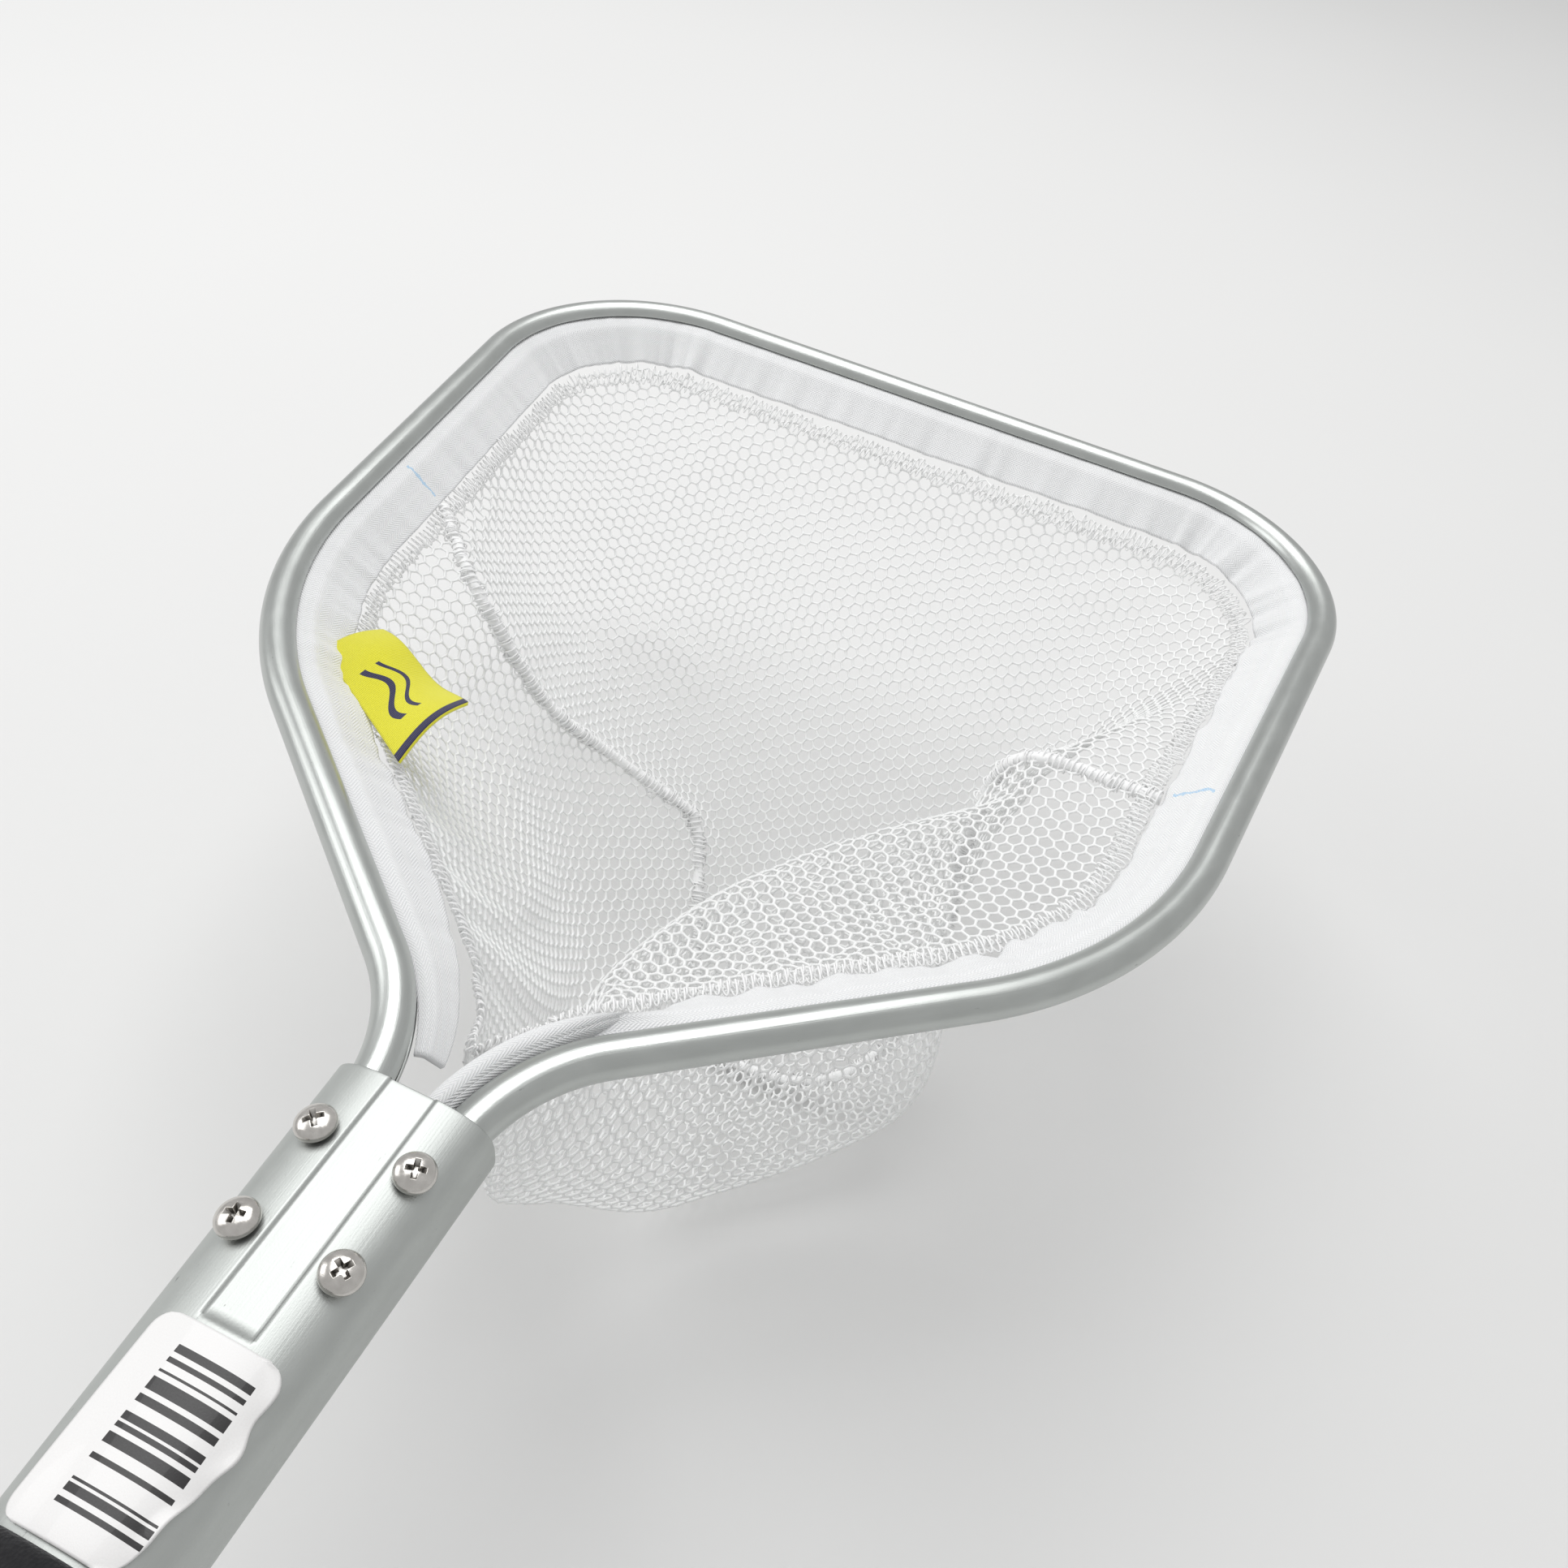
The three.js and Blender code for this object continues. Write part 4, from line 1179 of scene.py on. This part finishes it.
sections, normal = tape_sections()
top = sweep(tape_s, (sections + normal * TAPE_T / 2) * MM)
under = sweep(tape_s, (sections - normal * TAPE_T / 2) * MM)
tape_across = np.linspace(0, 19, sections.shape[1])
tape_uv = np.stack(np.broadcast_arrays(tape_s[:, None] / MM, tape_across[None, :]), -1)
tape = slab("hem_tape_twill", top, under, tape_uv)
seam_marks = [(nearest_on_rim(*row[0]) / MM, 5.0, 16.5) for row in (RIGHT_SEAM, LEFT_SEAM)]
tape.data.materials.append(white_twill(seam_marks))
finish_piece(tape, "hem_tape")

# %% [markdown]
# ## Stitches and seams
# The mesh is overlocked to the tape, and the two panels are overlocked to each other. An overlock wraps
# thread round the edge in loops, so each line of stitches is drawn as a slightly uneven coil round its
# path, and the thread tree gives it thickness. The seam between the panels also has a soft core of
# gathered mesh.

# %% Coils of thread round a path
def line_object(name, paths):
    points = np.concatenate(paths)
    edges, first = [], 0
    for path in paths:
        edges += [(first + k, first + k + 1) for k in range(len(path) - 1)]
        first += len(path)
    mesh = bpy.data.meshes.new(name)
    mesh.from_pydata([tuple(p) for p in points], edges, [])
    piece = bpy.data.objects.new(name, mesh)
    bpy.context.scene.collection.objects.link(piece)
    return piece


def spaced(path, step):
    reach = np.concatenate([[0], np.cumsum(np.linalg.norm(np.diff(path, axis=0), axis=1))])
    at = np.linspace(0, reach[-1], int(reach[-1] / step) + 1)
    return np.stack([np.interp(at, reach, path[:, k]) for k in range(3)], 1), at


def coil(path, normals, wide, high, pitch, seed):
    """A loose coil round a path: wide across the cloth and high along the normals."""
    line, at = spaced(path, pitch / 9)
    reach = np.linspace(0, 1, len(path))
    up = np.stack([np.interp(np.linspace(0, 1, len(line)), reach, normals[:, k]) for k in range(3)], 1)
    forward = np.gradient(line, axis=0)
    side = np.cross(forward, up)
    side /= np.linalg.norm(side, axis=1, keepdims=True)
    up = np.cross(side, forward)
    up /= np.linalg.norm(up, axis=1, keepdims=True)
    rng = np.random.default_rng(seed)
    loops = int(at[-1] / pitch) + 3
    uneven = np.interp(at / pitch, np.arange(loops), rng.uniform(0.65, 1.25, loops))
    shift = np.interp(at / pitch, np.arange(loops), rng.normal(0, 0.25, loops)) * wide
    turn = 2 * math.pi * at / pitch
    return (line + side * (np.cos(turn) * wide * uneven + shift)[:, None]
            + up * (np.sin(turn) * high * uneven)[:, None])


def grid_normals(grid):
    across, down = np.gradient(grid, axis=0), np.gradient(grid, axis=1)
    n = np.cross(across, down)
    n /= np.maximum(np.linalg.norm(n, axis=-1, keepdims=True), 1e-12)
    return n * np.sign(n[..., 2:] + 1e-9)


RIM_ROW = 1
near_n, far_n = grid_normals(near_shape), grid_normals(far_shape)
STITCH_LIFT = 0.6 * MM
THREAD_R = 0.24 * MM
hem_paths = []
for grid, normals, seed in ((near_shape, near_n, 3), (far_shape, far_n, 5)):
    for offset, wide in ((0, 2.0), (1, 1.2)):
        row = grid[:, RIM_ROW + offset] + normals[:, RIM_ROW] * STITCH_LIFT
        hem_paths.append(coil(row, normals[:, RIM_ROW], wide * MM, 0.7 * MM, 1.7 * MM, seed + offset))
hem_stitches = run_tree(line_object("hem_stitch_lines", hem_paths), thread_tree, "hem_overlock_stitches",
                        Finish=thread_white, Radius=THREAD_R, Sides=4, Points=2400, Waist=0.0)
finish_piece(hem_stitches, None)

seam_path = np.concatenate([near_shape[0], near_shape[1:-1, -1], near_shape[-1, ::-1]])
seam_line, seam_at = spaced(seam_path, 0.6 * MM)
turns = np.linspace(0, 2 * math.pi, 14, endpoint=False)
forward = np.gradient(seam_line, axis=0)
forward /= np.linalg.norm(forward, axis=1, keepdims=True)
up = np.array([0, 0, 1.0]) - forward * forward[:, 2:]
up /= np.linalg.norm(up, axis=1, keepdims=True)
side = np.cross(forward, up)
rough = np.array([[noise.noise(Vector((s / MM / 2.2, 2 * math.cos(a), 2 * math.sin(a)))) for a in turns]
                  for s in seam_at])
seam_radius = 1.45 * MM * (1 + 0.28 * rough)
core_grid = (seam_line[:, None] + seam_radius[..., None] * (np.cos(turns)[None, :, None] * side[:, None]
             + np.sin(turns)[None, :, None] * up[:, None]))
seam_core = grid_piece("bag_seam_core", core_grid, wrap_columns=True)
cap_ends(seam_core)
seam_core.data.materials.append(thread_white)
finish_piece(seam_core, "bag_seam")
seam_coils = [coil(seam_line, up, 2.1 * MM, 1.9 * MM, 1.5 * MM, 7),
              coil(seam_line, up, 1.7 * MM, 1.7 * MM, 2.3 * MM, 8)]
seam_stitches = run_tree(line_object("seam_stitch_lines", seam_coils), thread_tree, "bag_seam_overlock",
                         Finish=thread_white, Radius=THREAD_R, Sides=4, Points=2400, Waist=0.0)
finish_piece(seam_stitches, None)

# %% [markdown]
# ## The loop tag
# A woven tag is sewn into the hem on the left. It is a short ribbon folded double, bowed a little, with
# a dark binding on one end. Its ground is yellow, with fine warp ribs, and its motif is plain waves.

# %% The tag
TAG_T = 0.9 * MM


def tag_grid():
    u = np.linspace(0, 1, 60)[:, None]
    v = np.linspace(0, 1, 34)[None, :]
    sewn = np.array([-88.0, 92, -7]) + u[..., None] * np.array([35.0, -21, 0])
    free = np.array([-79.5, 103, -5]) + u[..., None] * np.array([30.0, -11, -1])
    grid = sewn + v[..., None] * (free - sewn)
    bow = 3.0 * np.sin(math.pi * v) * (0.5 + 0.5 * u) + 1.6 * np.sin(2.4 * math.pi * u) * v
    grid = grid + bow[..., None] * np.array([0, 0, 1.0])
    return grid * MM + np.array([0, MOUTH_Y, HOOP_Z])


def woven_tag():
    m = Recipe("tag_fabric_woven")
    m.shader.inputs["Sheen Weight"].default_value = 0.3
    place = m.coords("UV")
    apart = m.add("SeparateXYZ", Vector=place)
    along, across = apart.outputs[0], apart.outputs[1]
    warp = m.math("SINE", m.math("MULTIPLY", along, 2 * math.pi / 0.45))
    weft = m.math("SINE", m.math("MULTIPLY", across, 2 * math.pi / 0.30))
    weave = m.math("ADD", warp, weft)
    rib = m.ramp(weave, (0.0, grey(0)), (1.0, grey(1)))
    # painted shade: the yellow ground is darker where the weave is low, in its grooves
    ground = m.mix(rib, (0.80, 0.76, 0.01, 1), (0.93, 0.88, 0.02, 1))
    inked = m.math("GREATER_THAN", along, 34.0)
    for middle, reach in ((7.0, 0.9), (11.5, 0.6)):
        bend = m.math("MULTIPLY", m.math("SINE", m.math("MULTIPLY", along, 0.42)), 2.0)
        off = m.math("SUBTRACT", m.math("SUBTRACT", across, middle), bend)
        gap = m.math("ABSOLUTE", off)
        wave = m.math("LESS_THAN", gap, reach)
        wave = m.math("MULTIPLY", wave, m.math("GREATER_THAN", along, 12.0))
        wave = m.math("MULTIPLY", wave, m.math("LESS_THAN", along, 29.0))
        inked = m.math("MAXIMUM", inked, wave)
    m.colour(m.mix(inked, ground, (0.018, 0.016, 0.075, 1)))
    m.rough(m.ramp(weave, (0.0, grey(0.6)), (1.0, grey(0.8))))
    m.bump(weave, 0.00008, 0.6)
    return m.material


tag_top = tag_grid()
tag_n = grid_normals(tag_top)
tag_uv = np.stack(np.meshgrid(np.linspace(0, 36, 60), np.linspace(0, 20, 34), indexing="ij"), -1)
tag = slab("loop_tag_woven", tag_top + tag_n * TAG_T / 2, tag_top - tag_n * TAG_T / 2, tag_uv)
tag.data.materials.append(woven_tag())
finish_piece(tag, "loop_tag")

# %% [markdown]
# ## What is cloth
# The two panels, the tape and the tag are sheets. Each was cut flat.

# %% [markdown]
# ## Floor, light and camera
# The net stands on nothing here: it is shown on a plain pale floor under its lowest point, with one
# large soft light overhead, a weaker one from the side, and an even pale world around it.

# %% Stage, lights and camera
def stage_floor():
    m = Recipe("floor_pale", Roughness=0.9)
    m.shader.inputs["Specular IOR Level"].default_value = 0.1
    cloud = m.add("TexNoise", Vector=m.coords("Object"), Scale=3.0, Detail=2.0)
    m.colour(m.mix(cloud.outputs[0], (0.76, 0.76, 0.755, 1), (0.79, 0.79, 0.785, 1)))
    floor_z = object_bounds()[0].z - 0.001
    corners = [(-6, -6, floor_z), (6, -6, floor_z), (6, 6, floor_z), (-6, 6, floor_z)]
    floor = mesh_piece("floor", corners, [(0, 1, 2, 3)])
    floor.data.materials.append(m.material)


def soft_light(name, place, aim, size, watts):
    light = bpy.data.lights.new(name, "AREA")
    light.shape, light.size, light.energy = "SQUARE", size, watts
    lamp = bpy.data.objects.new(name, light)
    lamp.location = place
    lamp.rotation_euler = (Vector(aim) - Vector(place)).to_track_quat("-Z", "Y").to_euler()
    bpy.context.scene.collection.objects.link(lamp)


stage_floor()
NET_CENTRE = (0, 0.43, 0)
soft_light("softbox_over", (-0.35, 0.95, 1.5), NET_CENTRE, 1.3, 15)
soft_light("softbox_side", (-1.3, 0.1, 0.8), NET_CENTRE, 0.8, 4)
world = bpy.data.worlds.new("pale_room")
world.use_nodes = True
world.node_tree.nodes["Background"].inputs["Color"].default_value = (1, 1, 1, 1)
world.node_tree.nodes["Background"].inputs["Strength"].default_value = 0.60
bpy.context.scene.world = world
bpy.context.scene.view_settings.view_transform = "Standard"

camera_data = bpy.data.cameras.new("camera")
camera_data.sensor_fit, camera_data.sensor_width, camera_data.lens = "HORIZONTAL", 36, 30.825
camera_data.clip_start, camera_data.clip_end = 0.01, 50
camera = bpy.data.objects.new("camera", camera_data)
camera.location = (0.07694, 0.20564, 0.20494)
camera.rotation_euler = [math.radians(a) for a in (44.517, -8.075, 23.599)]
bpy.context.scene.collection.objects.link(camera)
bpy.context.scene.camera = camera
